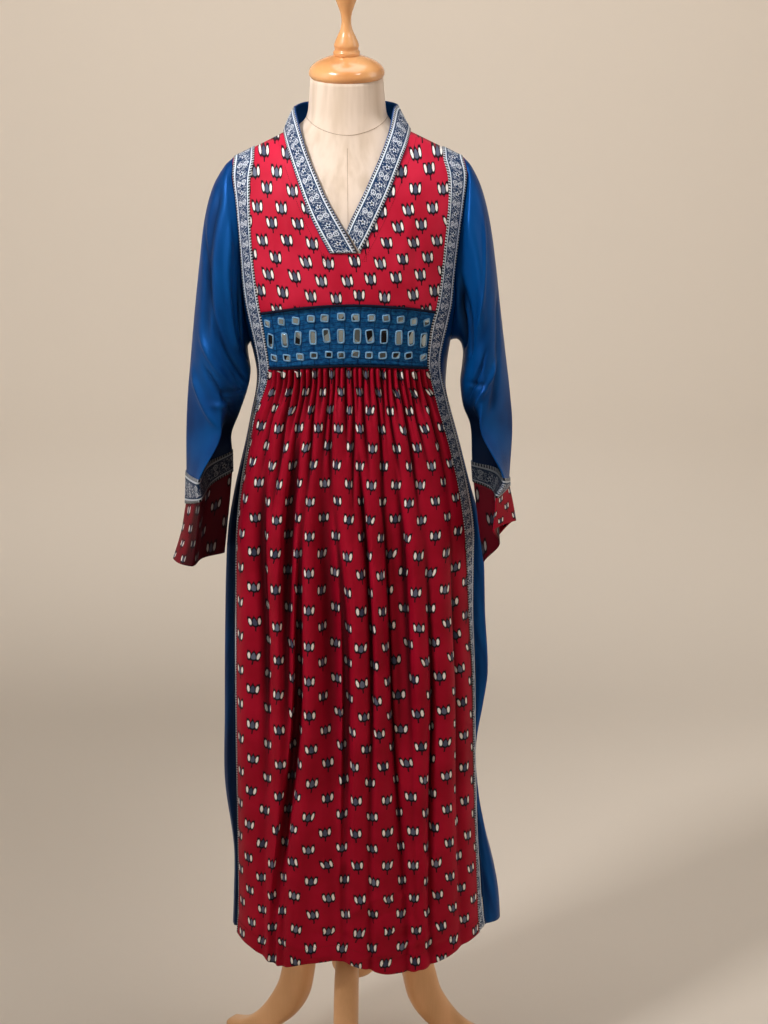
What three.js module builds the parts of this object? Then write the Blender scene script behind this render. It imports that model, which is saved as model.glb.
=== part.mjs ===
// A long a-line kurti worn by a limbless dress form on a turned wooden stand.
// Millimetres, +Z up, the front faces -Y and the stand's post rises on x = 0, y = 0.
import * as THREE from "three";

// ---------------------------------------------------------------- driving sizes
const CLOTH = 1.5; // thickness of the sewn cloth
const SLEEVE_CLOTH = 1.7; // thickness of the sleeves, cuffs and collar
const SEAM = 0.3; // gap between pieces that are sewn edge to edge
const LACE = 1.1; // thickness of the lace trims
const LIFT = 0.55; // gap under what lies on a panel
const ROUND = 2.3; // exponent of the horizontal sections of the worn body
const YOKE = 1380; // height where the chest starts to roll over to the shoulders
const RIDGE = { top: 1583, fall: 0.49 }; // shoulder seam: z = top - fall * |x|
const UNDERARM = 1225; // lowest point of the armholes
const CORD = 2.0; // radius of the piping cords on the waist belt

const named = (names, rows) =>
  rows.map((row) => Object.fromEntries(names.split(" ").map((name, i) => [name, row[i]])));

// The worn body by height: seam line E and inner trim line T of the front panel on the wearer's
// right (L, -X) and left (R, +X), half widths W, depths F (front) and B (back), the inset of the
// back seams from E, and how far the side panels flare past W.
const BODY = named("z EL TL WL ER TR WR F B inset flareL flareR", [
  [240, 194, 188, 197, 212, 199, 216, 158, 153, 26, 0, 24],
  [345, 192, 182, 195, 207, 195, 210, 155, 150, 25, 2, 20],
  [440, 193, 180, 196, 201, 192, 204, 151, 147, 24, 2, 9],
  [560, 193, 178, 197, 197.5, 189, 200.5, 146, 142, 22, 3, 4],
  [700, 192, 176, 195, 195.5, 187, 198.5, 140, 136, 20, 2, 12],
  [800, 190, 174, 193, 191.5, 181, 196, 136, 132, 19, 0, 13],
  [890, 186, 173, 189, 191, 176, 195, 132, 130, 18, 0, 12],
  [945, 181, 170.5, 184.5, 190, 172, 193.5, 129, 127, 17, 0, 6],
  [1008, 170.5, 162, 173.5, 179, 162, 182, 125, 122, 16, 0, 0],
  [1064, 158, 150, 161, 166, 149, 168.5, 121, 115, 15, 0, 0],
  [1120, 146.5, 138, 149, 151.5, 133, 153.5, 116, 105, 14, 0, 0],
  [1152, 139.5, 127, 142, 144, 125, 146.5, 113, 100, 13, 0, 0],
  [1180, 135, 119, 140, 138, 118, 147, 111, 97, 12, 0, 0],
  [1208, 136, 118.5, 144, 135.5, 115, 150, 112, 95, 11, 0, 0],
  [1236, 140, 121.5, 151, 140, 116.5, 155, 116, 96, 10, 0, 0],
  [1262, 146, 125, 158, 147, 120, 160, 121, 99, 8, 0, 0],
  [1290, 152, 130, 163, 153, 128, 165, 127, 102, 6, 0, 0],
  [1325, 156, 135, 167, 155.5, 134, 168, 128, 105, 3, 0, 0],
  [1380, 159, 140, 171, 162, 140, 174, 123, 107, 0, 0, 0],
  [1440, 164, 142, 177, 171, 146, 181, 113, 107, 0, 0, 0],
  [1476, 169.5, 141, 180, 176, 146, 185, 106, 106, 0, 0, 0],
  [1500, 168.5, 136, 180, 171.5, 140, 185, 102, 105, 0, 0, 0],
]);

// Heights of the sewn rows along the front and back seam lines.
const SKIRT_ROWS = [278, 345, 430, 520, 610, 700, 790, 870, 935, 990, 1040, 1085, 1125, 1160, 1194];
const BELT_ROWS = [1194, 1234, 1275];
const CHEST_ROWS = [1275, 1310, 1345, 1380];
const ARMHOLE_ROWS = [1414, 1446, 1472, 1491];

// The waist belt's edges rise at centre front by this much above the seam lines.
const BELT_ARCH = { bottom: 15, top: 26 };

// Front neckline from the flat bottom of the V to the shoulder seam: the seam's height and x on
// each side, then the same strip's free edge (height and x on each side, y in front of the post).
const NECK = named("z xL xR freeZL freeXL freeZR freeXR y", [
  [1376, -27, 17, 1376, 12.6, 1407.5, -2.4, 0],
  [1398, -39.5, 29.5, 1407, -5, 1424, 5, 0],
  [1420, -51, 41, 1430, -18.5, 1442, 14.5, 0],
  [1441, -60, 51.5, 1453, -31.5, 1461, 24.5, 0],
  [1462, -68, 61.5, 1477, -42.5, 1481, 34, 0],
  [1481, -74.5, 69.5, 1499, -52.5, 1499, 43, 0],
  [1500, -81, 77.5, 1520, -60.5, 1519, 52, -61],
  [1520, -87.5, 86, 1544, -68, 1543, 61, -41],
  [1537.9, -92, 92, 1571, -75, 1571, 67.5, -11],
]);
// Back neckline from the shoulder seam to centre back, on both sides.
const NAPE = named("x z freeX freeY freeZ", [
  [85, 1537, 73, 22, 1574],
  [68, 1535.5, 62, 41, 1577],
  [43, 1537, 40, 54, 1579],
  [21, 1542, 20, 59, 1580],
  [0, 1545, 0, 60, 1580],
]);
const SHOULDER = [106, 121]; // columns between the neck and the trim's inner line, at the ridge

// Hanging folds: centre and half width across the panel (1 = trim line, 2 = seam line), depth at
// the hem (+ outwards) and the height where each fold starts.
const FRONT_FOLDS = named("u width depth start", [
  [-0.86, 0.1, -5, 1000],
  [-0.6, 0.13, 6, 1130],
  [-0.36, 0.09, -7, 1060],
  [-0.1, 0.12, 5, 1150],
  [0.16, 0.09, -6, 1100],
  [0.42, 0.13, 7, 1140],
  [0.68, 0.1, -6, 1020],
  [0.88, 0.08, 4, 900],
]);
const BACK_FOLDS = named("u width depth start", [
  [-1.35, 0.2, -7, 1050],
  [-0.8, 0.22, 7, 1100],
  [-0.3, 0.18, -8, 1080],
  [0.25, 0.24, 7, 1120],
  [0.8, 0.2, -8, 1040],
  [1.4, 0.2, 6, 1000],
]);
// How far the front hem hangs below (-) or above its level, across the panel.
const HEM = named("u dz", [
  [-2, 0], [-1, 2], [-0.65, -20], [-0.45, -12], [-0.1, -5], [0.25, -26], [0.45, -27], [0.7, -14],
  [1, 2], [2, 2],
]);

// Sleeve rings from the armhole down: outer and inner point (distance from the middle, height),
// y of the middle, reach to the front and back, and the front fold: where its ridge stands
// between outer and inner point, how sharp it is, and how far it hangs.
const SLEEVE = "ox oz ix iz y front back ridge fold dip";
const SLEEVE_L = named(SLEEVE, [
  [182, 1488, 152.5, 1218, -2, 60, 58, 0.5, 0, 0],
  [200, 1457, 152.5, 1210, -5, 63, 60, 0.5, 0, 0],
  [213, 1410, 151.5, 1202, -9, 64, 60, 0.5, 0, 0],
  [222, 1345, 149.5, 1193, -14, 62, 58, 0.5, 0.05, 0],
  [231, 1270, 148.5, 1181, -20, 60, 54, 0.55, 0.1, 0],
  [238, 1205, 153, 1158, -26, 58, 50, 0.7, 0.25, 0],
  [244, 1145, 166, 1122, -32, 56, 46, 0.85, 0.5, 0],
  [247, 1090, 178, 1092, -37, 55, 44, 0.88, 0.7, 0],
  [248, 1034, 178, 1066, -42, 55, 42, 0.3, 0.88, 10],
  [250, 985, 178, 1034, -46, 57, 42, 0.33, 0.85, 1],
]);
const CUFF_L = named(SLEEVE, [
  [258, 942, 183, 985, -50, 62, 44, 0.33, 0.7, 2],
  [271, 901, 192, 909, -54, 68, 46, 0.36, 0.5, -3],
]);
const SLEEVE_R = named(SLEEVE, [
  [184, 1485, 158, 1227, -2, 60, 58, 0.5, 0, 0],
  [199, 1453, 164, 1227, -5, 63, 60, 0.5, 0, 0],
  [211, 1405, 169, 1221, -9, 64, 60, 0.5, 0, 0],
  [219.5, 1345, 171.5, 1208, -14, 62, 58, 0.5, 0, 0],
  [227, 1278, 170, 1190, -20, 60, 54, 0.55, 0.1, 0],
  [235, 1210, 167, 1164, -27, 58, 50, 0.65, 0.25, 0],
  [242, 1150, 171, 1131, -35, 56, 46, 0.85, 0.45, 0],
  [245.5, 1096, 182, 1100, -43, 55, 44, 0.9, 0.7, 0],
  [241, 1022, 184, 1048, -52, 55, 42, 0.17, 0.88, -8],
  [241, 1012, 186, 1018, -57, 56, 42, 0.42, 0.9, 8],
]);
const CUFF_R = named(SLEEVE, [
  [246, 988, 193, 957, -64, 54, 38, 0.6, 0.9, -13],
  [250.5, 961, 201, 896, -74, 50, 30, 0.82, 0.9, -51],
]);
const AROUND = 20; // points around a sleeve

// The form under the cloth and the wooden parts (r = radius; heights along the post).
const FORM = { bottom: 820, easeRidge: 2.05, armPlate: 161, sides: 36 };
const FORM_BODY = named("z ease", [
  [820, 34], [832, 25], [900, 20], [980, 17], [1060, 12], [1130, 8], [1190, 7], [1260, 7],
  [1320, 6], [1380, 6], [1430, 6], [1465, 6], [1490, 6], [1506, 7], [1520, 7.5], [1534, 7.5],
]);
const NECK_RINGS = named("z rx front back", [
  [1546, 63, 62, 50], [1562, 58, 58, 49], [1590, 55.5, 56, 49], [1616, 53.5, 54, 50],
]);
const HEAD_TILT = 0.11; // forward tilt of the neck's top, its cap and finial, radians
const CAP = named("r z", [
  [53, 0], [55.5, 4], [55.5, 9], [52, 16], [42, 23.5], [29, 29], [19, 32],
]);
const FINIAL = named("r z", [
  [19.5, 0], [19.5, 5], [17.5, 8], [18.3, 15], [14, 26], [9, 37], [7.2, 47], [8, 58], [11.5, 69],
  [16.5, 83], [19.5, 98], [18.5, 112], [13, 125], [6, 132],
]);
const HUB = named("r z", [
  [12, 176], [26, 180], [35, 190], [37, 204], [37, 284], [31, 292], [22, 298],
]);
const POST = named("r z", [[15, HUB.at(-1).z + SEAM], [15, FORM.bottom - SEAM]]);
const LEG = named("r z wide thick", [
  [37.2, 252, 17, 19], [56, 258, 17.5, 21], [80, 249, 18, 23], [100, 222, 18.5, 24.5],
  [110, 185, 19, 25.5], [117, 148, 19, 27], [127, 112, 18.5, 27.5], [147, 78, 18, 26],
  [176, 46, 17.5, 21.5], [209, 23, 17, 15.5], [240, 11, 16.5, 11], [264, 8, 16, 8],
]);
const LEG_TURN = { leg_front: -97, leg_back_left: 143, leg_back_right: 23 }; // degrees about +Z

// ---------------------------------------------------------------- colours
const material = (color, roughness) =>
  new THREE.MeshStandardMaterial({ color, roughness, metalness: 0 });
const RED = material(0xb5202f, 0.55);
const BLUE = material(0x1d4f8f, 0.4);
const BELT = material(0x1f5590, 0.6);
const NAVY = material(0x101c3a, 0.6);
const SILVER = material(0x8f96a3, 0.5);
const FORM_CLOTH = material(0xe6d3bd, 0.85);
const CAP_WOOD = material(0xdc9c5c, 0.25);
const STAND_WOOD = material(0xb98f62, 0.4);

// ---------------------------------------------------------------- small tools
const V = (x, y, z) => new THREE.Vector3(x, y, z);
const clamp = (v, low, high) => Math.min(high, Math.max(low, v));
const step = (v) => clamp(v, 0, 1) ** 2 * (3 - 2 * clamp(v, 0, 1));
const mix = (a, b, t) => a + (b - a) * t;

// A table's column `name` read smoothly at the place `v` of its rising column `by`.
function read(rows, by, name, v) {
  const last = rows.length - 1;
  let i = 0;
  while (i < last - 1 && v > rows[i + 1][by]) i++;
  const slope = (k) => {
    const a = rows[Math.max(k - 1, 0)];
    const b = rows[Math.min(k + 1, last)];
    return (b[name] - a[name]) / (b[by] - a[by]);
  };
  const [a, b] = [rows[i], rows[i + 1]];
  const h = b[by] - a[by];
  const t = clamp((v - a[by]) / h, 0, 1);
  const curve = (1 + 2 * t) * (1 - t) ** 2 * a[name] + t * t * (3 - 2 * t) * b[name];
  return curve + h * (t * (1 - t) ** 2 * slope(i) + t * t * (t - 1) * slope(i + 1));
}

// A closed mesh from points and triangles, turned so that its faces point out.
function solid(name, points, faces, look) {
  const volume = faces.reduce((sum, [a, b, c]) => {
    return sum + points[a].dot(V(0, 0, 0).crossVectors(points[b], points[c]));
  }, 0);
  const geometry = new THREE.BufferGeometry().setFromPoints(points);
  geometry.setIndex(faces.flatMap(([a, b, c]) => (volume < 0 ? [a, c, b] : [a, b, c])));
  geometry.computeVertexNormals();
  const mesh = new THREE.Mesh(geometry, look);
  mesh.name = name;
  return mesh;
}

// A wall between two grids of the same size (rows of points); `closed` joins each row's ends.
function wall(name, outer, inner, look, closed = false) {
  const [rows, cols] = [outer.length, outer[0].length];
  const points = [...outer.flat(), ...inner.flat()];
  const at = (r, c, side) => side * rows * cols + r * cols + (c % cols);
  const faces = [];
  const quad = (a, b, c, d) => faces.push([a, b, c], [a, c, d]);
  const spans = closed ? cols : cols - 1;
  for (let r = 0; r < rows - 1; r++)
    for (let c = 0; c < spans; c++) {
      quad(at(r, c, 0), at(r, c + 1, 0), at(r + 1, c + 1, 0), at(r + 1, c, 0));
      quad(at(r, c, 1), at(r + 1, c, 1), at(r + 1, c + 1, 1), at(r, c + 1, 1));
    }
  for (let c = 0; c < spans; c++) {
    quad(at(0, c, 0), at(0, c, 1), at(0, c + 1, 1), at(0, c + 1, 0));
    const top = rows - 1;
    quad(at(top, c, 0), at(top, c + 1, 0), at(top, c + 1, 1), at(top, c, 1));
  }
  if (!closed)
    for (let r = 0; r < rows - 1; r++) {
      quad(at(r, 0, 0), at(r + 1, 0, 0), at(r + 1, 0, 1), at(r, 0, 1));
      const end = cols - 1;
      quad(at(r, end, 0), at(r, end, 1), at(r + 1, end, 1), at(r + 1, end, 0));
    }
  return solid(name, points, faces, look);
}

// A solid through closed rings of points, with a flat fan over each end.
function loft(name, rings, look) {
  const n = rings[0].length;
  const middle = (ring) => ring.reduce((s, p) => s.add(p), V(0, 0, 0)).divideScalar(n);
  const points = [...rings.flat(), middle(rings[0]), middle(rings.at(-1))];
  const faces = [];
  for (let r = 0; r < rings.length - 1; r++)
    for (let i = 0; i < n; i++) {
      const [a, b] = [r * n + i, r * n + ((i + 1) % n)];
      faces.push([a, b, b + n], [a, b + n, a + n]);
    }
  const top = (rings.length - 1) * n;
  for (let i = 0; i < n; i++) {
    const j = (i + 1) % n;
    faces.push([rings.length * n, j, i], [rings.length * n + 1, top + i, top + j]);
  }
  return solid(name, points, faces, look);
}

// A turned piece: circles of the table's radii at its heights.
const turned = (name, profile, sides, look) =>
  loft(name, profile.map(({ r, z }) => circle(sides, r, z)), look);
function circle(sides, r, z) {
  return Array.from({ length: sides }, (_, i) => {
    const a = (2 * Math.PI * i) / sides;
    return V(r * Math.cos(a), r * Math.sin(a), z);
  });
}

// ---------------------------------------------------------------- the worn body's surface
const ridge = (x) => RIDGE.top - RIDGE.fall * Math.abs(x);
const hand = (x) => (x < 0 ? "L" : "R");
const body = (name, z) => read(BODY, "z", name, z);
const rise = (x, z) => clamp((z - YOKE) / (ridge(x) - YOKE), 0, 1);

// y of the surface at x, z on the front (face -1) or back (face 1).
function depth(x, z, face) {
  const across = Math.min(1, Math.abs(x) / body("W" + hand(x), z));
  const section = (1 - across ** ROUND) ** (1 / ROUND);
  const roll = Math.sqrt(1 - rise(x, z) ** 2);
  return face * (SEAM / 2 + body(face < 0 ? "F" : "B", z) * section * roll);
}

// The direction out of the cloth at a point of the surface.
function outward(p) {
  const across = Math.min(1, Math.abs(p.x) / body("W" + hand(p.x), p.z));
  const section = (1 - across ** ROUND) ** (1 / ROUND);
  const flat = V(
    (Math.sign(p.x) * across ** (ROUND - 1)) / body("W" + hand(p.x), p.z),
    (Math.sign(p.y) * section ** (ROUND - 1)) / body(p.y < 0 ? "F" : "B", p.z),
    0,
  ).normalize();
  const up = rise(p.x, p.z);
  return flat.multiplyScalar(Math.sqrt(1 - up * up)).add(
    V(Math.sign(p.x) * RIDGE.fall * up, 0, 1).normalize().multiplyScalar(up),
  ).normalize();
}
const moved = (grid, distance) =>
  grid.map((row) => row.map((p) => p.clone().addScaledVector(outward(p), distance)));
const cloth = (name, grid, look) => wall(name, grid, moved(grid, -CLOTH), look);
const lying = (name, grid, look) =>
  wall(name, moved(grid, LIFT + LACE), moved(grid, LIFT), look);

// x of the column u at height z: |u| 0 to 1 reaches the trim line, 1 to 2 the seam line.
function frontX(u, z) {
  const trim = body("T" + hand(u), z);
  const seam = body("E" + hand(u), z);
  const a = Math.abs(u);
  return Math.sign(u) * (a <= 1 ? a * trim : mix(trim, seam, a - 1));
}
const backX = (u, z) => (u / 2) * (body("E" + hand(u), z) - body("inset", z));

// How far the folds push the cloth out at column u and height z.
function folded(folds, u, z) {
  return folds.reduce((sum, f) => {
    const growth = step((f.start - z) / 700);
    return sum + f.depth * growth * Math.exp(-(((u - f.u) / f.width) ** 2));
  }, 0);
}

// ---------------------------------------------------------------- front panel columns and rows
const V_BOTTOM = NECK[0].z - 2 * SEAM; // the bodice's edge under the flat end of the V
const trimTop = (s) => body("T" + s, ridge(body("T" + s, 1515)));
function sideColumns(s) {
  const sign = s === "L" ? -1 : 1;
  const neck = NECK.map((row, i) => ({
    u: row["x" + s] / body("T" + s, row.z), top: i ? row.z : V_BOTTOM,
  }));
  const shoulder = SHOULDER.map((x) => ({ u: (sign * x) / trimTop(s), top: ridge(x) }));
  const trim = [1, 1.5, 2].map((a) => ({ u: sign * a, top: ridge(shoulderX(sign * a)) }));
  return [...neck, ...shoulder, ...trim];
}
// x of a trim column where it meets the shoulder seam.
function shoulderX(u) {
  let z = 1505;
  for (let i = 0; i < 12; i++) z = ridge(frontX(u, z));
  return frontX(u, z);
}
const FRONT = [...sideColumns("L").reverse(), { u: -0.035, top: V_BOTTOM }, ...sideColumns("R")];
const LOWER = [-2, -1.5, ...Array.from({ length: 17 }, (_, i) => i / 8 - 1), 1.5, 2].map((u) => ({ u }));

// Height of the belt's edge at column u, from its height `z` on the seam line.
function arched(u, z, lift) {
  const across = frontX(u, z) / body("E" + hand(u), z);
  return z + lift * (1 - across * across);
}
const beltBottom = (u) => arched(u, BELT_ROWS[0], BELT_ARCH.bottom);
const beltTop = (u) => arched(u, BELT_ROWS.at(-1), BELT_ARCH.top);

function skirtGrid(columns, rows, xOf, face, folds, bottom, top) {
  return rows.map((z0) =>
    columns.map(({ u }) => {
      const share = (z0 - rows[0]) / (rows.at(-1) - rows[0]);
      const z = z0 + bottom(u) * (1 - share) ** 3 + (top(u) - rows.at(-1)) * step((share - 0.5) * 2);
      const x = xOf(u, z);
      const p = V(x, depth(x, z, face), z);
      return p.addScaledVector(outward(p), folded(folds, u, z));
    }),
  );
}
const hemDrop = (u) => read(HEM, "u", "dz", u);
const skirtFront = skirtGrid(
  LOWER, SKIRT_ROWS, frontX, -1, FRONT_FOLDS, hemDrop, (u) => beltBottom(u) - SEAM / 2,
);
const belt = BELT_ROWS.map((z0, i) =>
  LOWER.map(({ u }) => {
    const share = i / (BELT_ROWS.length - 1);
    const z = mix(beltBottom(u) + SEAM / 2, beltTop(u) - SEAM / 2, share);
    return V(frontX(u, z), depth(frontX(u, z), z, -1), z);
  }),
);
const bodiceRows = [...CHEST_ROWS, ...ARMHOLE_ROWS];
const tipOf = (u) => ridge(shoulderX(u));
const bodice = [...bodiceRows, null].map((z0) =>
  FRONT.map(({ u, top }) => {
    const tip = tipOf(Math.sign(u) * 2);
    const share = z0 === null ? 1 : (z0 - bodiceRows[0]) / (tip - bodiceRows[0]);
    const seam = z0 === null ? tip : z0;
    const z = Math.abs(u) === 2 ? seam : mix(beltTop(u) + SEAM / 2, top, share);
    const x = frontX(u, z);
    return V(x, depth(x, z, -1), z);
  }),
);

// ---------------------------------------------------------------- back panel
const backTops = [
  ...NAPE.toReversed(), ...[92, 112, 132, 152].map((x) => ({ x, z: ridge(x) })),
];
const backHalf = (sign) => [
  ...backTops.map(({ x, z }) => ({ u: (sign * 2 * x) / body("E" + hand(sign), z), top: z })),
  { u: 2 * sign, top: tipOf(2 * sign) },
];
const BACK = [...backHalf(-1).toReversed(), ...backHalf(1).slice(1)];
const backRows = [...SKIRT_ROWS, ...BELT_ROWS.slice(1), ...CHEST_ROWS.slice(1), ...ARMHOLE_ROWS];
const back = [...backRows, null].map((z0) =>
  BACK.map(({ u, top }) => {
    const tip = tipOf(Math.sign(u || 1) * 2);
    const seam = z0 === null ? tip : z0;
    const share = (seam - YOKE) / (tip - YOKE);
    const z = seam <= YOKE || Math.abs(u) === 2 ? seam : mix(YOKE, top, share);
    const x = backX(u, z);
    const p = V(x, depth(x, z, 1), z);
    return p.addScaledVector(outward(p), folded(BACK_FOLDS, u, z));
  }),
);

// ---------------------------------------------------------------- side panels
const SIDE = Array.from({ length: 11 }, (_, k) => k / 10);
const sideRows = [...SKIRT_ROWS, ...BELT_ROWS.slice(1), ...CHEST_ROWS.slice(1)];
function sideGrid(s) {
  const sign = s === "L" ? -1 : 1;
  return sideRows.map((z0) =>
    SIDE.map((k) => {
      const low = SKIRT_ROWS.at(-4);
      const top = YOKE - (YOKE - UNDERARM) * Math.sin(Math.PI * k);
      const z = z0 <= low ? z0 : low + ((z0 - low) * (top - low)) / (YOKE - low);
      const seam = body("E" + s, z);
      const front = depth(sign * seam, z, -1) + SEAM + 0.1;
      const rear = depth(sign * (seam - body("inset", z)), z, 1) - SEAM - 0.1;
      const y = k <= 0.5 ? front * Math.cos(Math.PI * k) : -rear * Math.cos(Math.PI * k);
      const reach = Math.abs(y) / body(y < 0 ? "F" : "B", z);
      const x = body("W" + s, z) * (1 - reach ** ROUND) ** (1 / ROUND);
      const flare = body("flare" + s, z) * Math.sin(Math.PI * k) ** 2;
      return V(sign * (x + flare), y, z);
    }),
  );
}
const sideL = sideGrid("L");
const sideR = sideGrid("R");

// ---------------------------------------------------------------- sleeves
// One ring of a sleeve from a row of its table.
function sleeveRing(sign, row) {
  return Array.from({ length: AROUND }, (_, j) => {
    const half = AROUND / 2;
    const s = (j <= half ? j : AROUND - j) / half;
    const isFront = j > 0 && j < half;
    const sharp = isFront ? row.fold : 0;
    const straight = s < 0.5 ? row.ridge * 2 * s : mix(row.ridge, 1, 2 * s - 1);
    const along = mix((1 - Math.cos(Math.PI * s)) / 2, straight, sharp);
    const reach = mix(Math.sin(Math.PI * s), 1 - Math.abs(2 * s - 1), sharp);
    const y = row.y + (isFront ? -row.front : row.back) * reach;
    const drop = isFront ? row.dip * reach : 0;
    return V(sign * mix(row.ox, row.ix, along), y, mix(row.oz, row.iz, along) - drop);
  });
}
// The armhole's own edge: down the front seam, under the arm and up the back seam.
function armhole(sign, side) {
  const column = sign < 0 ? 0 : FRONT.length - 1;
  const backColumn = sign < 0 ? 0 : BACK.length - 1;
  const top = bodice.at(-1)[column].clone().setY(0);
  const front = bodice.slice(4, -1).toReversed().map((row) => row[column]);
  const under = side.at(-1);
  const rear = back.slice(-1 - ARMHOLE_ROWS.length, -1).map((row) => row[backColumn]);
  return [top, ...front, ...under, ...rear].map((p) => p.clone().add(V(sign * 0.4, 0, 0)));
}
// The same ring drawn in or out in its own plane (+ inwards).
function drawn(ring, distance) {
  const n = ring.length;
  const centre = ring.reduce((s, p) => s.add(p), V(0, 0, 0)).divideScalar(n);
  const axis = ring.reduce(
    (s, p, i) => s.add(p.clone().sub(centre).cross(ring[(i + 1) % n].clone().sub(centre))),
    V(0, 0, 0),
  ).normalize();
  return ring.map((p, i) => {
    const along = ring[(i + 1) % n].clone().sub(ring[(i + n - 1) % n]);
    const inward = axis.clone().cross(along).normalize();
    return p.clone().addScaledVector(inward, distance);
  });
}
const tube = (name, rings, look) =>
  wall(name, rings, rings.map((r) => drawn(r, SLEEVE_CLOTH)), look, true);
const band = (name, rings, look) =>
  wall(name, ...[-LIFT - LACE, -LIFT].map((d) => rings.map((r) => drawn(r, d))), look, true);
const lowered = (ring) => ring.map((p) => p.clone().add(V(0, 0, -SEAM)));
function arm(sign, suffix, side, sleeveTable, cuffTable) {
  const rings = [armhole(sign, side), ...sleeveTable.map((row) => sleeveRing(sign, row))];
  const cuff = [lowered(rings.at(-1)), ...cuffTable.map((row) => sleeveRing(sign, row))];
  return [
    tube("sleeve_" + suffix, rings, BLUE),
    band("sleeve_trim_" + suffix, rings.slice(-2), SILVER),
    tube("cuff_" + suffix, cuff, RED),
  ];
}

// ---------------------------------------------------------------- neckband
// Stations along the neckline, each with its sewn edge, its free edge and the way out of it.
function neckStations() {
  const front = (s) =>
    NECK.map((row) => {
      const edge = V(row["x" + s], depth(row["x" + s], row.z, -1), row.z);
      const [x, z] = [row["freeX" + s], row["freeZ" + s]];
      const free = V(x, row.y || depth(x, z, -1), z);
      const inwards = free.clone().sub(edge).normalize().multiplyScalar(SEAM + 0.1);
      return { edge: edge.add(inwards), free, out: bandOut(edge, free) };
    });
  const rear = (sign) =>
    NAPE.map((row) => {
      const edge = V(sign * row.x, depth(row.x, row.z, 1), row.z + SEAM + 0.1);
      const free = V(sign * row.freeX, row.freeY, row.freeZ);
      return { edge, free, out: bandOut(edge, free) };
    });
  return [...front("L"), ...rear(-1), ...rear(1).slice(0, -1).toReversed(), ...front("R").toReversed()];
}
// The direction away from the neck at a station: out of the chest low down, sideways higher up.
function bandOut(edge, free) {
  const middle = edge.clone().add(free).multiplyScalar(0.5);
  const away = V(middle.x, middle.y, 0).normalize();
  const share = step((middle.z - 1440) / 90);
  const chest = V(middle.x / 400, -1, 0.35).normalize();
  const wide = free.clone().sub(edge).normalize();
  const out = chest.lerp(away, share).normalize();
  return out.addScaledVector(wide, -out.dot(wide)).normalize();
}
const neck = neckStations();
const neckGrid = (lift, margin = 0) =>
  [margin, 0.5, 1 - margin].map((t) => neck.map(({ edge, free, out }) =>
    edge.clone().lerp(free, t).addScaledVector(out, lift + 1.2 * Math.sin(Math.PI * t))));

// ---------------------------------------------------------------- piping
// A cord along the belt's edge, between the two side trims.
function piping(name, edge) {
  const line = LOWER.slice(2, -2).map(({ u: column }) => {
    const u = 0.985 * column;
    const z = edge(u);
    const p = V(frontX(u, z), depth(frontX(u, z), z, -1), z);
    return p.addScaledVector(outward(p), LIFT + CORD + 0.4);
  });
  const rings = line.map((p, i) => {
    const along = line[Math.min(i + 1, line.length - 1)].clone().sub(line[Math.max(i - 1, 0)]);
    const out = outward(p);
    const up = V(0, 0, 0).crossVectors(along, out).normalize();
    return Array.from({ length: 6 }, (_, k) => {
      const a = (Math.PI * k) / 3;
      return p.clone().addScaledVector(out, CORD * Math.cos(a)).addScaledVector(up, CORD * Math.sin(a));
    });
  });
  return loft(name, rings, NAVY);
}

// ---------------------------------------------------------------- the form and its stand
// A horizontal ring of the form at height z, drawn in from the cloth by `ease`.
function formRing(z, ease) {
  const across = Math.min((RIDGE.top - z) / RIDGE.fall, z > UNDERARM ? FORM.armPlate : Infinity);
  return Array.from({ length: FORM.sides }, (_, i) => {
    const a = (2 * Math.PI * i) / FORM.sides;
    const [c, s] = [Math.cos(a), Math.sin(a)];
    const face = s < 0 ? -1 : 1;
    const wide = Math.min(body("W" + (c < 0 ? "L" : "R"), z), across);
    const x = Math.sign(c) * wide * Math.abs(c) ** (2 / ROUND);
    const y = Math.abs(s) < 1e-9 ? 0 : depth(x, z, face);
    const p = V(x, y, z);
    const onRidge = y === 0 && across < FORM.armPlate;
    return p.addScaledVector(outward(p), onRidge ? -FORM.easeRidge : -ease);
  });
}
function formTorso() {
  const rings = FORM_BODY.map(({ z, ease }) => formRing(z, ease));
  const necks = NECK_RINGS.map(({ z, rx, front, back: rear }, k) =>
    Array.from({ length: FORM.sides }, (_, i) => {
      const a = (2 * Math.PI * i) / FORM.sides;
      const [c, s] = [Math.cos(a), Math.sin(a)];
      const y = (s < 0 ? front : rear) * s;
      return V(rx * c, y, z + y * HEAD_TILT * (k / (NECK_RINGS.length - 1)));
    }));
  return loft("form_torso", [...rings, ...necks], FORM_CLOTH);
}
function leg(name) {
  const turn = (LEG_TURN[name] * Math.PI) / 180;
  const ringOf = (row, i) => {
    const [a, b] = [LEG[Math.max(i - 1, 0)], LEG[Math.min(i + 1, LEG.length - 1)]];
    let along = V(b.r - a.r, 0, b.z - a.z).normalize();
    if (i === 0 || i >= LEG.length - 2) along = V(1, 0, 0);
    const up = V(-along.z, 0, along.x);
    return Array.from({ length: 8 }, (_, k) => {
      const angle = (Math.PI * (k + 0.5)) / 4;
      const round = 1 / Math.cos(Math.PI / 8);
      const p = V(row.r, row.wide * round * Math.cos(angle), row.z);
      return p.addScaledVector(up, row.thick * round * Math.sin(angle)).applyAxisAngle(V(0, 0, 1), turn);
    });
  };
  return loft(name, LEG.map(ringOf), STAND_WOOD);
}
const tilted = (mesh, height) => {
  const up = V(0, -Math.sin(HEAD_TILT), Math.cos(HEAD_TILT));
  const seat = V(0, 0, NECK_RINGS.at(-1).z);
  mesh.position.copy(seat.addScaledVector(up, height));
  mesh.rotation.x = HEAD_TILT;
  return mesh;
};

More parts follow.
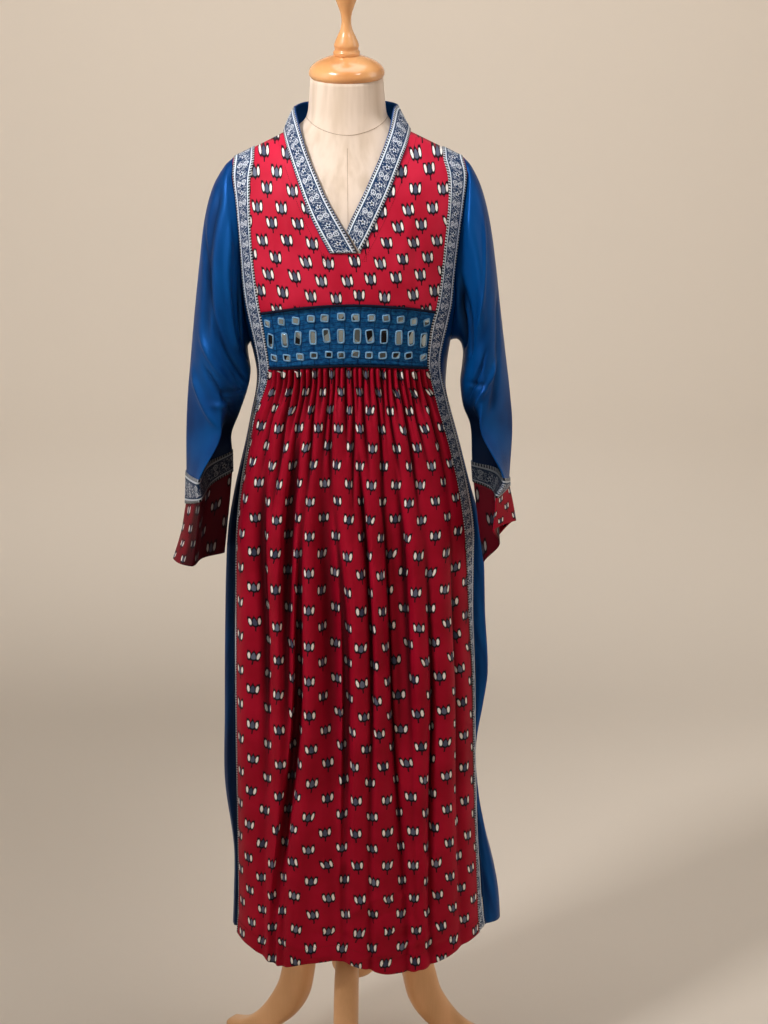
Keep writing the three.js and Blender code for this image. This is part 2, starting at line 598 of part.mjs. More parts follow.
// ---------------------------------------------------------------- everything together
// The trim's points: the three outermost columns of the front panel, kept off its sewn edge.
const frontTrim = (side) =>
  [...skirtFront.slice(0, -1), ...belt.slice(0, -1), ...bodice].map((row) => {
    const [edge, middle, inner] = side < 0 ? row : row.toReversed();
    const strip = [middle.clone().lerp(edge, 0.88), middle, inner];
    return side < 0 ? strip : strip.reverse();
  });
const pieces = [
  cloth("front_bodice", bodice, RED),
  cloth("waist_belt", belt, BELT),
  cloth("skirt_front", skirtFront, RED),
  cloth("back_panel", back, RED),
  cloth("side_panel_left", sideL, BLUE),
  cloth("side_panel_right", sideR, BLUE),
  lying("side_trim_left", frontTrim(-1), SILVER),
  lying("side_trim_right", frontTrim(1), SILVER),
  wall("neckband", neckGrid(0), neckGrid(-SLEEVE_CLOTH), BLUE),
  wall("neck_trim", neckGrid(LIFT + LACE, 0.02), neckGrid(LIFT, 0.02), SILVER),
  piping("belt_piping_top", beltTop),
  piping("belt_piping_bottom", beltBottom),
  ...arm(-1, "left", sideL, SLEEVE_L, CUFF_L),
  ...arm(1, "right", sideR, SLEEVE_R, CUFF_R),
  formTorso(),
  tilted(turned("neck_cap", CAP, 28, CAP_WOOD), SEAM),
  tilted(turned("finial", FINIAL, 20, CAP_WOOD), SEAM * 2 + CAP.at(-1).z),
  turned("stand_post", POST, 20, STAND_WOOD),
  turned("stand_hub", HUB, 24, STAND_WOOD),
  ...Object.keys(LEG_TURN).map(leg),
];

const part = new THREE.Group();
part.name = "kurti_on_dress_form";
part.add(...pieces);
part.updateMatrixWorld(true);
const box = new THREE.Box3().setFromObject(part, true);
for (const piece of pieces) {
  piece.position.x -= (box.min.x + box.max.x) / 2;
  piece.position.y -= (box.min.y + box.max.y) / 2;
  piece.position.z -= box.min.z;
}

export default part;
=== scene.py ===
"""The looks of a long a-line kurti worn by a limbless dress form on a turned wooden stand.

Surfaces are worked out as whole numpy grids. Tables and surface formulas are in millimetres from
the axis of the stand's post; put_mesh() turns them to metres in the row frame.
"""

import bpy
import numpy as np
from mathutils import Matrix, Vector


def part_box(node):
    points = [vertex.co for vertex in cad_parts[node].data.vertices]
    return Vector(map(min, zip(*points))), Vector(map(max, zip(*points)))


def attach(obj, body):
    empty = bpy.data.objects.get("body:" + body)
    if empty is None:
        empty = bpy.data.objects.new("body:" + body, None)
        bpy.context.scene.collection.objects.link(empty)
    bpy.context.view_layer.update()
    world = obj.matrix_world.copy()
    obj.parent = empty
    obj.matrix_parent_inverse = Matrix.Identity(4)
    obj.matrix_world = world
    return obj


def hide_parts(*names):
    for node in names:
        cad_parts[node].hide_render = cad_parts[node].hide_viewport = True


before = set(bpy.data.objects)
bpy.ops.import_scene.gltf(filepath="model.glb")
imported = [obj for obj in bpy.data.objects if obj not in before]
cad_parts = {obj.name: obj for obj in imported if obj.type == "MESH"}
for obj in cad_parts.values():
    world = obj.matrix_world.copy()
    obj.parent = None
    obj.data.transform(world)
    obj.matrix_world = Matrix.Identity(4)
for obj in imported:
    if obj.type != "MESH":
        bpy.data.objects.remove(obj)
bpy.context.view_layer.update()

MM = 0.001
post = np.array(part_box("stand_post"))
AXIS = np.array([post[:, 0].mean(), post[:, 1].mean(), 0.0])
SEED = 8
rng = np.random.default_rng(SEED)


# ------------------------------------------------------------------ camera
CAMERA_PLACE = [0, -3.3, 1.855]  # metres from the foot of the post's axis
CAMERA_ANGLES = np.radians([15.237, 0.8965, -0.26])  # down, to the right, roll
FOCAL_PIXELS, FRAME_HEIGHT, SENSOR = 2217.5, 1024, 36.0


def place_camera():
    """A still camera in front of the post, above the neck and looking down at the belt."""
    pitch, yaw, roll = CAMERA_ANGLES
    ahead = np.array([
        np.sin(yaw) * np.cos(pitch), np.cos(yaw) * np.cos(pitch), -np.sin(pitch)])
    right = np.array([np.cos(yaw), -np.sin(yaw), 0.0])
    up = np.cross(right, ahead)
    across = np.cos(roll) * right + np.sin(roll) * up
    upright = -np.sin(roll) * right + np.cos(roll) * up
    data = bpy.data.cameras.new("camera")
    data.sensor_width, data.lens = SENSOR, FOCAL_PIXELS / FRAME_HEIGHT * SENSOR
    data.clip_start, data.clip_end = 0.1, 50.0
    camera = bpy.data.objects.new("camera", data)
    turn = Matrix(np.column_stack([across, upright, -ahead]).tolist()).to_4x4()
    camera.matrix_world = Matrix.Translation(Vector(AXIS + CAMERA_PLACE)) @ turn
    bpy.context.collection.objects.link(camera)
    bpy.context.scene.camera = camera


place_camera()


# ------------------------------------------------------------------ tables
class Table:
    """Rows of a maker's table, read column by column."""

    def __init__(self, names, rows):
        self.columns = dict(zip(names.split(), np.array(rows, float).T))

    def __getitem__(self, name):
        return self.columns[name]

    def read(self, name, at):
        """Cubic Hermite curve through the rows, its slopes taken from the rows on either side."""
        by = next(iter(self.columns.values()))
        return hermite(by, self.columns[name], at)


def hermite(by, values, at):
    """Cubic Hermite curve through values at the rising places by, along the first axis."""
    at = np.asarray(at, float)
    last = len(by) - 1
    rows = np.arange(last + 1)
    before, after = np.maximum(rows - 1, 0), np.minimum(rows + 1, last)
    wide = (slice(None),) + (None,) * (values.ndim - 1)
    slope = (values[after] - values[before]) / (by[after] - by[before])[wide]
    i = np.clip(np.searchsorted(by, at, side="right") - 1, 0, last - 1)
    h = by[i + 1] - by[i]
    t = np.clip((at - by[i]) / h, 0, 1)
    if values.ndim > 1:
        t, h = t[..., None, None], h[..., None, None]
    curve = (1 + 2 * t) * (1 - t) ** 2 * values[i] + t * t * (3 - 2 * t) * values[i + 1]
    return curve + h * (t * (1 - t) ** 2 * slope[i] + t * t * (t - 1) * slope[i + 1])


# Power of the body's rounded sections; heights of the yoke and the underarm; gap at a seam.
ROUND, YOKE, UNDERARM, SEAM = 2.3, 1380.0, 1225.0, 0.3
# The shoulder seam starts this high over the post and falls so much for each unit outwards.
RIDGE_TOP, RIDGE_FALL = 1583, 0.49
# Thickness of the cloths and the lace, the lace's lift off its cloth, and the pipings' radius.
CLOTH, SLEEVE_CLOTH, LACE, LIFT, CORD = 1.5, 1.7, 1.1, 0.55, 2.0
LACE_HALF = 15.0
# The worn body by height: half widths to the seam line (E), the trim line (T) and the widest point
# (W), left and right; reach to the front and the back; how far the back seam is set in; flare of
# the side panels.
BODY = Table("z EL TL WL ER TR WR F B inset flareL flareR", [
    [240, 194, 188, 197, 212, 199, 216, 158, 153, 26, 0, 24],
    [345, 192, 182, 195, 207, 195, 210, 155, 150, 25, 2, 20],
    [440, 193, 180, 196, 201, 192, 204, 151, 147, 24, 2, 9],
    [560, 193, 178, 197, 197.5, 189, 200.5, 146, 142, 22, 3, 4],
    [700, 192, 176, 195, 195.5, 187, 198.5, 140, 136, 20, 2, 12],
    [800, 190, 174, 193, 191.5, 181, 196, 136, 132, 19, 0, 13],
    [890, 186, 173, 189, 191, 176, 195, 132, 130, 18, 0, 12],
    [945, 181, 170.5, 184.5, 190, 172, 193.5, 129, 127, 17, 0, 6],
    [1008, 170.5, 162, 173.5, 179, 162, 182, 125, 122, 16, 0, 0],
    [1064, 158, 150, 161, 166, 149, 168.5, 121, 115, 15, 0, 0],
    [1120, 146.5, 138, 149, 151.5, 133, 153.5, 116, 105, 14, 0, 0],
    [1152, 139.5, 127, 142, 144, 125, 146.5, 113, 100, 13, 0, 0],
    [1180, 135, 119, 140, 138, 118, 147, 111, 97, 12, 0, 0],
    [1208, 136, 118.5, 144, 135.5, 115, 150, 112, 95, 11, 0, 0],
    [1236, 140, 121.5, 151, 140, 116.5, 155, 116, 96, 10, 0, 0],
    [1262, 146, 125, 158, 147, 120, 160, 121, 99, 8, 0, 0],
    [1290, 152, 130, 163, 153, 128, 165, 127, 102, 6, 0, 0],
    [1325, 156, 135, 167, 155.5, 134, 168, 128, 105, 3, 0, 0],
    [1380, 159, 140, 171, 162, 140, 174, 123, 107, 0, 0, 0],
    [1440, 164, 142, 177, 171, 146, 181, 113, 107, 0, 0, 0],
    [1476, 169.5, 141, 180, 176, 146, 185, 106, 106, 0, 0, 0],
    [1500, 168.5, 136, 180, 171.5, 140, 185, 102, 105, 0, 0, 0],
])
HEM, WAIST, BELT_TOP = 278.0, 1194.0, 1275.0
HIP = 740.0  # half way down the long folds
ARMHOLE_ROWS = np.array([1414.0, 1446, 1472, 1491])
ARCH_BOTTOM, ARCH_TOP = 15.0, 26.0
# The neckline in front by height: the sewn edge's x, the free edge's height and x, left and right,
# and the free edge's y where it has left the chest.
NECK = Table("z xL xR freeZL freeXL freeZR freeXR y", [
    [1376, -27, 17, 1376, 12.6, 1407.5, -2.4, 0],
    [1398, -39.5, 29.5, 1407, -5, 1424, 5, 0],
    [1420, -51, 41, 1430, -18.5, 1442, 14.5, 0],
    [1441, -60, 51.5, 1453, -31.5, 1461, 24.5, 0],
    [1462, -68, 61.5, 1477, -42.5, 1481, 34, 0],
    [1481, -74.5, 69.5, 1499, -52.5, 1499, 43, 0],
    [1500, -81, 77.5, 1520, -60.5, 1519, 52, -61],
    [1520, -87.5, 86, 1544, -68, 1543, 61, -41],
    [1537.9, -92, 92, 1571, -75, 1571, 67.5, -11],
])
NAPE = Table("x z freeX freeY freeZ", [
    [85, 1537, 73, 22, 1574],
    [68, 1535.5, 62, 41, 1577],
    [43, 1537, 40, 54, 1579],
    [21, 1542, 20, 59, 1580],
    [0, 1545, 0, 60, 1580],
])
HEM_DROP = Table("u dz", [
    [-2, 0], [-1, 2], [-0.65, -20], [-0.45, -12], [-0.1, -5], [0.25, -26], [0.45, -27],
    [0.7, -14], [1, 2], [2, 2],
])
# Rings down a sleeve: its outer and inner points, its middle's y, its reach to the front and back,
# where the front ridge stands, how sharply the front folds to it, and how far it dips.
SLEEVE = "ox oz ix iz y front back ridge fold dip"
SLEEVE_L = Table(SLEEVE, [
    [182, 1488, 152.5, 1218, -2, 60, 58, 0.5, 0, 0],
    [200, 1457, 152.5, 1210, -5, 63, 60, 0.5, 0, 0],
    [213, 1410, 151.5, 1202, -9, 64, 60, 0.5, 0, 0],
    [222, 1345, 149.5, 1193, -14, 62, 58, 0.5, 0.05, 0],
    [231, 1270, 148.5, 1181, -20, 60, 54, 0.55, 0.1, 0],
    [238, 1205, 153, 1158, -26, 58, 50, 0.7, 0.25, 0],
    [244, 1145, 166, 1122, -32, 56, 46, 0.85, 0.5, 0],
    [247, 1090, 178, 1092, -37, 55, 44, 0.88, 0.7, 0],
    [248, 1034, 178, 1066, -42, 55, 42, 0.3, 0.88, 10],
    [250, 985, 178, 1034, -46, 57, 42, 0.33, 0.85, 1],
])
CUFF_L = Table(SLEEVE, [
    [258, 942, 183, 985, -50, 62, 44, 0.33, 0.7, 2],
    [271, 901, 192, 909, -54, 68, 46, 0.36, 0.5, -3],
])
SLEEVE_R = Table(SLEEVE, [
    [184, 1485, 158, 1227, -2, 60, 58, 0.5, 0, 0],
    [199, 1453, 164, 1227, -5, 63, 60, 0.5, 0, 0],
    [211, 1405, 169, 1221, -9, 64, 60, 0.5, 0, 0],
    [219.5, 1345, 171.5, 1208, -14, 62, 58, 0.5, 0, 0],
    [227, 1278, 170, 1190, -20, 60, 54, 0.55, 0.1, 0],
    [235, 1210, 167, 1164, -27, 58, 50, 0.65, 0.25, 0],
    [242, 1150, 171, 1131, -35, 56, 46, 0.85, 0.45, 0],
    [245.5, 1096, 182, 1100, -43, 55, 44, 0.9, 0.7, 0],
    [241, 1022, 184, 1048, -52, 55, 42, 0.17, 0.88, -8],
    [241, 1012, 186, 1018, -57, 56, 42, 0.42, 0.9, 8],
])
CUFF_R = Table(SLEEVE, [
    [246, 988, 193, 957, -64, 54, 38, 0.6, 0.9, -13],
    [250.5, 961, 201, 896, -74, 50, 30, 0.82, 0.9, -51],
])
FORM_BODY = Table("z ease", [
    [820, 34], [832, 25], [900, 20], [980, 17], [1060, 12], [1130, 8], [1190, 7], [1260, 7],
    [1320, 6], [1380, 6], [1430, 6], [1465, 6], [1490, 6], [1506, 7], [1520, 7.5], [1534, 7.5],
])
NECK_RINGS = Table("z rx front back", [
    [1546, 63, 62, 50], [1562, 58, 58, 49], [1590, 55.5, 56, 49], [1616, 53.5, 54, 50],
])
NECK_BASE, NECK_TOP, HEAD_TILT = 1546, 1616, 0.11
FORM_SIDES = 96
CAP = Table("r z", [
    [53, 0], [55.5, 4], [55.5, 9], [52, 16], [42, 23.5], [29, 29], [19, 32],
])
FINIAL = Table("r z", [
    [19.5, 0], [19.5, 5], [17.5, 8], [18.3, 15], [14, 26], [9, 37], [7.2, 47], [8, 58],
    [11.5, 69], [16.5, 83], [19.5, 98], [18.5, 112], [13, 125], [6, 132],
])
HUB = Table("r z", [
    [12, 176], [26, 180], [35, 190], [37, 204], [37, 284], [31, 292], [22, 298],
])
LEG = Table("r z wide thick", [
    [37.2, 252, 17, 19], [56, 258, 17.5, 21], [80, 249, 18, 23], [100, 222, 18.5, 24.5],
    [110, 185, 19, 25.5], [117, 148, 19, 27], [127, 112, 18.5, 27.5], [147, 78, 18, 26],
    [176, 46, 17.5, 21.5], [209, 23, 17, 15.5], [240, 11, 16.5, 11], [264, 8, 16, 8],
])
LEG_TURN = {"leg_front": -97, "leg_back_left": 143, "leg_back_right": 23}

FOLD = "top mid hem width depth lean start full end"
# Long folds of the front skirt: place across the panel (1 = trim line) at the belt, halfway and at
# the hem, half width and depth in mm (+ outwards), sideways lean, and the heights where the fold
# starts, is deepest and ends.
LONG_FOLDS = Table(FOLD, [
    [-0.90, -0.90, -0.93, 12, 10.0, 0, 1160, 900, 330],
    [-0.82, -0.74, -0.78, 5.0, -13.0, -3, 1150, 900, 560],
    [-0.70, -0.60, -0.62, 15, 12.5, 0, 1180, 840, 300],
    [-0.52, -0.55, -0.60, 4.6, -21.8, -5, 1190, 960, 660],
    [-0.40, -0.44, -0.67, 4.2, -23.2, -8, 1060, 640, 250],
    [-0.34, -0.33, -0.50, 10, 12.5, -3, 1180, 800, 300],
    [-0.28, -0.17, -0.16, 13, -21.8, 0, 1140, 820, 430],
    [-0.20, -0.03, -0.08, 4.6, -15.9, -5, 1100, 720, 330],
    [-0.08, 0.05, 0.04, 15, 13.8, 0, 1185, 860, 300],
    [0.07, 0.15, 0.12, 4.4, -17.4, 4, 1170, 900, 560],
    [0.18, 0.21, 0.22, 12, 10.6, 0, 1160, 860, 380],
    [0.27, 0.31, 0.42, 4.6, -21.8, 7, 1140, 760, 400],
    [0.35, 0.39, 0.38, 12, -18.8, 0, 1130, 830, 480],
    [0.43, 0.47, 0.50, 4.6, -13.0, 4, 1120, 900, 600],
    [0.52, 0.53, 0.52, 14, 12.5, 0, 1180, 800, 320],
    [0.64, 0.64, 0.60, 4.6, -15.9, 5, 1000, 600, 260],
    [0.78, 0.75, 0.74, 15, 10.6, 0, 1160, 760, 300],
    [0.90, 0.86, 0.86, 5.5, -12.3, 3, 1100, 640, 320],
])
# Small gathers under the belt: place across, half width, depth, length down the cloth.
GATHERS = Table("u width depth length", [
    [-0.97, 3.4, 4.5, 70], [-0.91, 3.0, 5.0, 150], [-0.84, 3.6, 5.5, 210], [-0.77, 3.0, 4.6, 90],
    [-0.70, 3.8, 6.0, 260], [-0.62, 3.2, 5.2, 130], [-0.55, 3.0, 4.8, 180], [-0.475, 3.8, 6.0, 120],
    [-0.40, 3.2, 5.0, 240], [-0.335, 3.0, 4.6, 90], [-0.26, 3.8, 6.0, 170], [-0.185, 3.2, 5.4, 220],
    [-0.12, 3.0, 4.4, 80], [-0.045, 3.9, 5.8, 150], [0.035, 3.2, 5.4, 260], [0.10, 3.0, 4.4, 110],
    [0.175, 3.8, 6.0, 190], [0.25, 3.2, 4.8, 90], [0.32, 3.2, 5.4, 230], [0.40, 3.8, 5.6, 140],
    [0.475, 3.0, 4.8, 200], [0.545, 3.4, 5.6, 100], [0.62, 3.8, 5.8, 250], [0.69, 3.0, 4.8, 120],
    [0.765, 3.4, 5.2, 170], [0.84, 3.2, 5.0, 90], [0.905, 3.2, 5.0, 210], [0.97, 3.0, 4.2, 80],
])
BACK_FOLDS = Table(FOLD, [
    [-1.55, -1.50, -1.52, 15, -7.0, 0, 1120, 700, 260],
    [-1.10, -1.15, -1.22, 20, 8.0, 0, 1180, 760, 250],
    [-0.70, -0.76, -0.84, 12, -9.0, 4, 1150, 700, 250],
    [-0.32, -0.34, -0.40, 20, 8.0, 0, 1200, 800, 250],
    [0.04, 0.02, -0.04, 12, -10.0, -4, 1160, 640, 250],
    [0.40, 0.44, 0.46, 22, 8.5, 0, 1210, 820, 250],
    [0.80, 0.84, 0.92, 11, -8.0, 3, 1120, 660, 250],
    [1.18, 1.20, 1.24, 18, 7.0, 0, 1150, 700, 250],
    [1.55, 1.56, 1.60, 13, -6.5, 0, 1080, 640, 250],
])
# Folds of the side panels: place from the front seam (0) to the back seam (1).
SIDE_FOLDS_L = Table(FOLD, [
    [0.12, 0.14, 0.12, 10, -7.0, 0, 1130, 800, 250],
    [0.30, 0.32, 0.34, 14, 4.0, 0, 1160, 900, 250],
    [0.50, 0.50, 0.48, 12, -7.0, 0, 1150, 700, 250],
    [0.70, 0.68, 0.72, 14, 5.0, 0, 1160, 800, 250],
    [0.86, 0.85, 0.86, 9, -6.0, 0, 1120, 800, 250],
])
SIDE_FOLDS_R = Table(FOLD, [
    [0.13, 0.13, 0.12, 9, -8.5, 0, 1130, 760, 250],
    [0.28, 0.30, 0.30, 13, 5.0, 0, 1160, 720, 250],
    [0.46, 0.48, 0.50, 12, -6.0, 0, 1140, 560, 250],
    [0.66, 0.66, 0.68, 14, 5.0, 0, 1160, 700, 250],
    [0.86, 0.86, 0.88, 9, -6.0, 0, 1110, 720, 250],
])
# How far each side panel's edge swings out (+) or in at a height, in mm.
SWING_L = Table("z out", [[240, 0], [330, -5], [410, -8], [520, 2], [640, 0], [900, 0]])
SWING_R = Table("z out", [
    [240, 0], [330, 3], [430, -2], [490, -9], [575, -13], [650, -3], [700, 3], [800, 0], [900, 0]])
# Small wrinkles low on the front: middle across and height, length, half width, depth and slope
# in degrees.
WRINKLES = Table("x z long width depth turn", [
    [18, 372, 69, 6.5, 4.5, 28], [42, 352, 53, 5.8, -3.9, 20], [70, 330, 67, 6.8, 4.8, 8],
    [-30, 318, 80, 7.2, -4.2, -12], [100, 306, 80, 6.5, 4.8, 24], [128, 286, 60, 6.1, -3.9, 18],
    [-96, 300, 74, 7.2, 4.2, -18], [-62, 282, 57, 6.1, 3.9, 6], [26, 284, 69, 6.5, 3.9, 4],
    [60, 276, 53, 5.8, -3.6, -6], [-120, 340, 57, 6.8, 3.3, 60], [112, 420, 69, 7.2, 3.6, 64],
    [84, 384, 46, 5.8, 3.3, 40], [-20, 430, 64, 6.1, 2.7, 70],
])


# ------------------------------------------------------------------ the worn body's surface
def smooth(v, low=0.0, high=1.0):
    """Eased step from 0 at low to 1 at high."""
    t = np.clip((v - low) / (high - low), 0, 1)
    return t * t * (3 - 2 * t)


def mix(a, b, t):
    """a where t is 0, b where it is 1."""
    return a + (b - a) * t


def unit(v):
    """Vectors of length 1."""
    return v / np.maximum(np.linalg.norm(v, axis=-1, keepdims=True), 1e-9)


def run(line):
    """Length along a line of points from its start."""
    return np.pad(np.cumsum(np.linalg.norm(np.diff(line, axis=0), axis=1)), (1, 0))


def turns(count, start=0.0):
    """Angles of equal steps once round."""
    return 2 * np.pi * (np.arange(count) + start) / count


def ridge(x):
    """Height of the shoulder seam: a straight fall outwards."""
    return RIDGE_TOP - RIDGE_FALL * np.abs(x)


def sided(name, u, z):
    """A table column kept apart for the two hands, read on the side that u is on."""
    return np.where(u < 0, BODY.read(name + "L", z), BODY.read(name + "R", z))


def rise(x, z):
    """Share of the way from the yoke to the shoulder seam."""
    return np.clip((z - YOKE) / (ridge(x) - YOKE), 0, 1)


def section(x, z):
    """x as a share of the half width, and the height of the superellipse of power ROUND there."""
    across = np.minimum(1, np.abs(x) / sided("W", x, z))
    return across, (1 - across**ROUND) ** (1 / ROUND)


def depth(x, z, face):
    """y of the worn cloth: the section times the reach, rolling in over the shoulders."""
    reach = BODY.read("F" if face < 0 else "B", z)
    return face * (SEAM / 2 + reach * section(x, z)[1] * np.sqrt(1 - rise(x, z) ** 2))


def worn(x, z, face=-1):
    """Points of the worn cloth at x and z, in front (face -1) or behind (1)."""
    return np.stack([x, depth(x, z, face), z], -1)


def outward(p):
    """Direction out of the worn cloth: the section's own normal, turned up over the shoulders."""
    x, y, z = p[..., 0], p[..., 1], p[..., 2]
    across, height = section(x, z)
    reach = np.where(y < 0, BODY.read("F", z), BODY.read("B", z))
    flat = unit(np.stack([
        np.sign(x) * across ** (ROUND - 1) / sided("W", x, z),
        np.sign(y) * height ** (ROUND - 1) / reach, 0 * x], -1))
    up = rise(x, z)[..., None]
    over = unit(np.stack([np.sign(x) * RIDGE_FALL * up[..., 0], 0 * x, np.ones_like(x)], -1))
    return unit(flat * np.sqrt(1 - up**2) + over * up)


def front_x(u, z):
    """x of column u: 0 to 1 reaches the trim line, 1 to 2 the seam line."""
    a = np.abs(u)
    trim, seam = sided("T", u, z), sided("E", u, z)
    return np.sign(u) * np.where(a <= 1, a * trim, mix(trim, seam, a - 1))


def back_x(u, z):
    """x of column u behind: 2 reaches the back seam."""
    return u / 2 * (sided("E", u, z) - BODY.read("inset", z))


def shoulder_x(u):
    """x where column u meets the shoulder seam, found by repeated steps."""
    z = np.full(np.shape(u), 1505.0)
    for _ in range(12):
        z = ridge(front_x(u, z))
    return front_x(u, z)


def arched(u, z, lift):
    """A level line at z lifted to a parabola, highest at the middle of the front."""
    across = front_x(u, z) / sided("E", u, z)
    return z + lift * (1 - across**2)


def fold_relief(folds, place, z, reach):
    """Sum of long folds: each is a bell across the cloth round a centre line that drifts from top
    to hem, growing from its start to its deepest height and fading to its end. Returns how far the
    cloth goes out and sideways. reach turns a place across into millimetres."""
    out, side = np.zeros_like(z), np.zeros_like(z)
    for top, mid, hem, width, deep, lean, start, full, end in zip(*folds.columns.values()):
        centre = np.where(z > HIP, mix(mid, top, smooth(z, HIP, 1190)),
                          mix(hem, mid, smooth(z, 290, HIP)))
        t = (place - centre) * reach / (width * (1 + 0.25 * smooth(-z, -start, -full)))
        grown = smooth(start - z, 0, start - full) * mix(0.3, 1, smooth(z, end - 60, full))
        out += deep * grown * np.exp(-t * t)
        side += lean * grown * np.exp(-(t + 0.5) ** 2)
    return out, side


def wrinkle_relief(x, z):
    """Sum of small straight wrinkles: each a bell across its line, fading towards both ends."""
    out = np.zeros_like(z)
    for cx, cz, long, width, deep, turn in zip(*WRINKLES.columns.values()):
        c, s = np.cos(np.radians(turn)), np.sin(np.radians(turn))
        along, off = (x - cx) * c + (z - cz) * s, (z - cz) * c - (x - cx) * s
        off = off + 0.004 * along**2
        out += deep * np.exp(-((off / width) ** 2) - (2 * along / long) ** 4)
    return out


def gather_relief(u, z, top):
    """Small gathers: the cloth stands out a little below the belt, and narrow creases of uneven
    depth and length are cut into it, widening and fading as they run down."""
    down = np.maximum(top - z, 0)
    out = 7.5 * (1 - smooth(down, 40, 280))
    for centre, width, deep, length in zip(*GATHERS.columns.values()):
        wide = 0.72 * width * (1 + 1.1 * down / length)
        drift = 0.012 * np.sin(down / 45 + centre * 20)
        t = (u - centre - drift * smooth(down, 0, 60)) * sided("T", u, z) / wide
        fade = 1 - smooth(down, 0.3 * length, 1.15 * length)
        out -= 2.1 * deep * np.exp(-np.abs(t) ** 1.6) * fade
    return out * mix(0.35, 1, smooth(down, 0, 8))


# ------------------------------------------------------------------ meshes
def grid_normals(grid, closed=False, flip=False):
    """Unit vectors square to a grid: the cross product of its steps along columns and rows."""
    across = np.roll(grid, -1, 1) - np.roll(grid, 1, 1) if closed else np.gradient(grid, axis=1)
    return unit(np.cross(across, np.gradient(grid, axis=0))) * (-1 if flip else 1)


def grid_faces(rows, cols, closed=False):
    """Corner rows and columns of a grid's squares; the last column may run on into the first."""
    r, c = np.mgrid[0 : rows - 1, 0 : cols if closed else cols - 1]
    r, c = r.ravel(), c.ravel()
    return np.stack([r, r, r + 1, r + 1], 1), np.stack([c, c + 1, c + 1, c], 1)


def put_mesh(name, points, faces, material, corners=None, body="root"):
    """A smooth mesh object in the row frame, from points in millimetres, riding on a body."""
    mesh = bpy.data.meshes.new(name)
    mesh.from_pydata((points.reshape(-1, 3) * MM + AXIS).tolist(), [], faces)
    if corners is not None:
        mesh.uv_layers.new(name="cut").data.foreach_set("uv", corners.astype(np.float32).ravel())
    mesh.polygons.foreach_set("use_smooth", np.full(len(mesh.polygons), True))
    mesh.materials.append(material)
    mesh.update()
    piece = bpy.data.objects.new(name, mesh)
    bpy.context.collection.objects.link(piece)
    if body:
        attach(piece, body)
    return piece


def stand_for(piece, node):
    """The piece takes a node's place: the node is hidden."""
    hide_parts(node)
    return piece


def cut_grid(across, down):
    """Cut coordinates in metres from millimetres across and down."""
    return np.stack(np.broadcast_arrays(across, down), -1) * MM


def cut_lengths(grid, width=None):
    """Place of each point on the cut cloth in metres: the length along its row from the middle,
    evened out to the cut's width, and the length down its column."""
    across = np.linalg.norm(np.diff(grid, axis=1), axis=-1)
    across = np.pad(np.cumsum(across, 1), ((0, 0), (1, 0)))
    total = across[:, -1:]
    u = (across / total - 0.5) * (width or total.mean())
    down = np.linalg.norm(np.diff(grid, axis=0), axis=-1)
    v = np.pad(np.cumsum(down, 0), ((1, 0), (0, 0)))
    v = v - v[-1:] if width else v
    return np.stack([u, v], -1) * MM


def sheet_shell(name, outer, thickness, material, uv, closed=False, flip=False):
    """A thin closed wall: the outer grid, the same grid moved in by the thickness, and a rim of
    squares between their edges. closed joins the last column to the first, and flip turns the
    wall's outside to the other face of the grid."""
    rows, cols = outer.shape[:2]
    inner = outer - grid_normals(outer, closed, flip) * thickness
    r, c = grid_faces(rows, cols, closed)
    rim = np.array([0, 1, 1, 0])
    n = np.arange(cols if closed else cols - 1)
    spans = np.stack([n, n, n + 1, n + 1], 1)
    parts = [(r, c, 0), (r[:, ::-1], c[:, ::-1], 1), (0 * spans, spans, rim),
             (0 * spans + rows - 1, spans[:, ::-1], rim[::-1])]
    if not closed:
        n = np.arange(rows - 1)
        ups = np.stack([n, n, n + 1, n + 1], 1)
        parts += [(ups[:, ::-1], 0 * ups, rim[::-1]), (ups, 0 * ups + cols - 1, rim)]
    faces = np.concatenate([wall * rows * cols + r * cols + c % cols for r, c, wall in parts])
    corner_r, corner_c = (np.concatenate([part[i] for part in parts]) for i in (0, 1))
    if flip:
        faces, corner_r, corner_c = faces[:, ::-1], corner_r[:, ::-1], corner_c[:, ::-1]
    walls = np.stack([outer, inner])
    return put_mesh(name, walls, faces.tolist(), material, uv[corner_r, corner_c])


def behind_mean(depths, reach):
    """How far each point lies behind the running mean of its row over reach points either side."""
    wide = np.pad(depths, ((0, 0), (reach, reach)), mode="edge")
    total = np.cumsum(np.pad(wide, ((0, 0), (1, 0))), 1)
    span = 2 * reach + 1
    return depths - (total[:, span:] - total[:, :-span]) / span


def mark_shade(piece, share):
    """Shade kept in the depth of the folds, 0 to 1, the same on both faces of a shell."""
    both = np.tile(np.clip(share, 0, 1).ravel(), 2).astype(np.float32)
    piece.data.attributes.new("shade", "FLOAT", "POINT").data.foreach_set("value", both)


def fold_shade(grid, front):
    """Shade from two widths of fold: narrow gathers, full at 1.6 mm, and long folds, full at
    8.5 mm; less of it near the hem, where the cloth opens out."""
    depths = grid[..., 1] * front
    share = np.clip(behind_mean(depths, 3) / 1.6, 0, 1) * 0.64 + behind_mean(depths, 11) / 8.5
    return share * mix(0.25, 1.0, smooth(grid[..., 2], 380, 800))


def tube_mesh(name, rings, material):
    """A skin over closed rings of points, with a flat fan over each end."""
    rows, cols = rings.shape[:2]
    r, c = grid_faces(rows, cols, True)
    spin = np.arange(cols)
    after, end, top = (spin + 1) % cols, rows * cols + 0 * spin, (rows - 1) * cols
    faces = (r * cols + c % cols).tolist() + np.stack([after, spin, end], 1).tolist()
    faces += np.stack([top + spin, top + after, end + 1], 1).tolist()
    points = np.concatenate([rings.reshape(-1, 3), rings[:1].mean(1), rings[-1:].mean(1)])
    return put_mesh(name, points, faces, material)


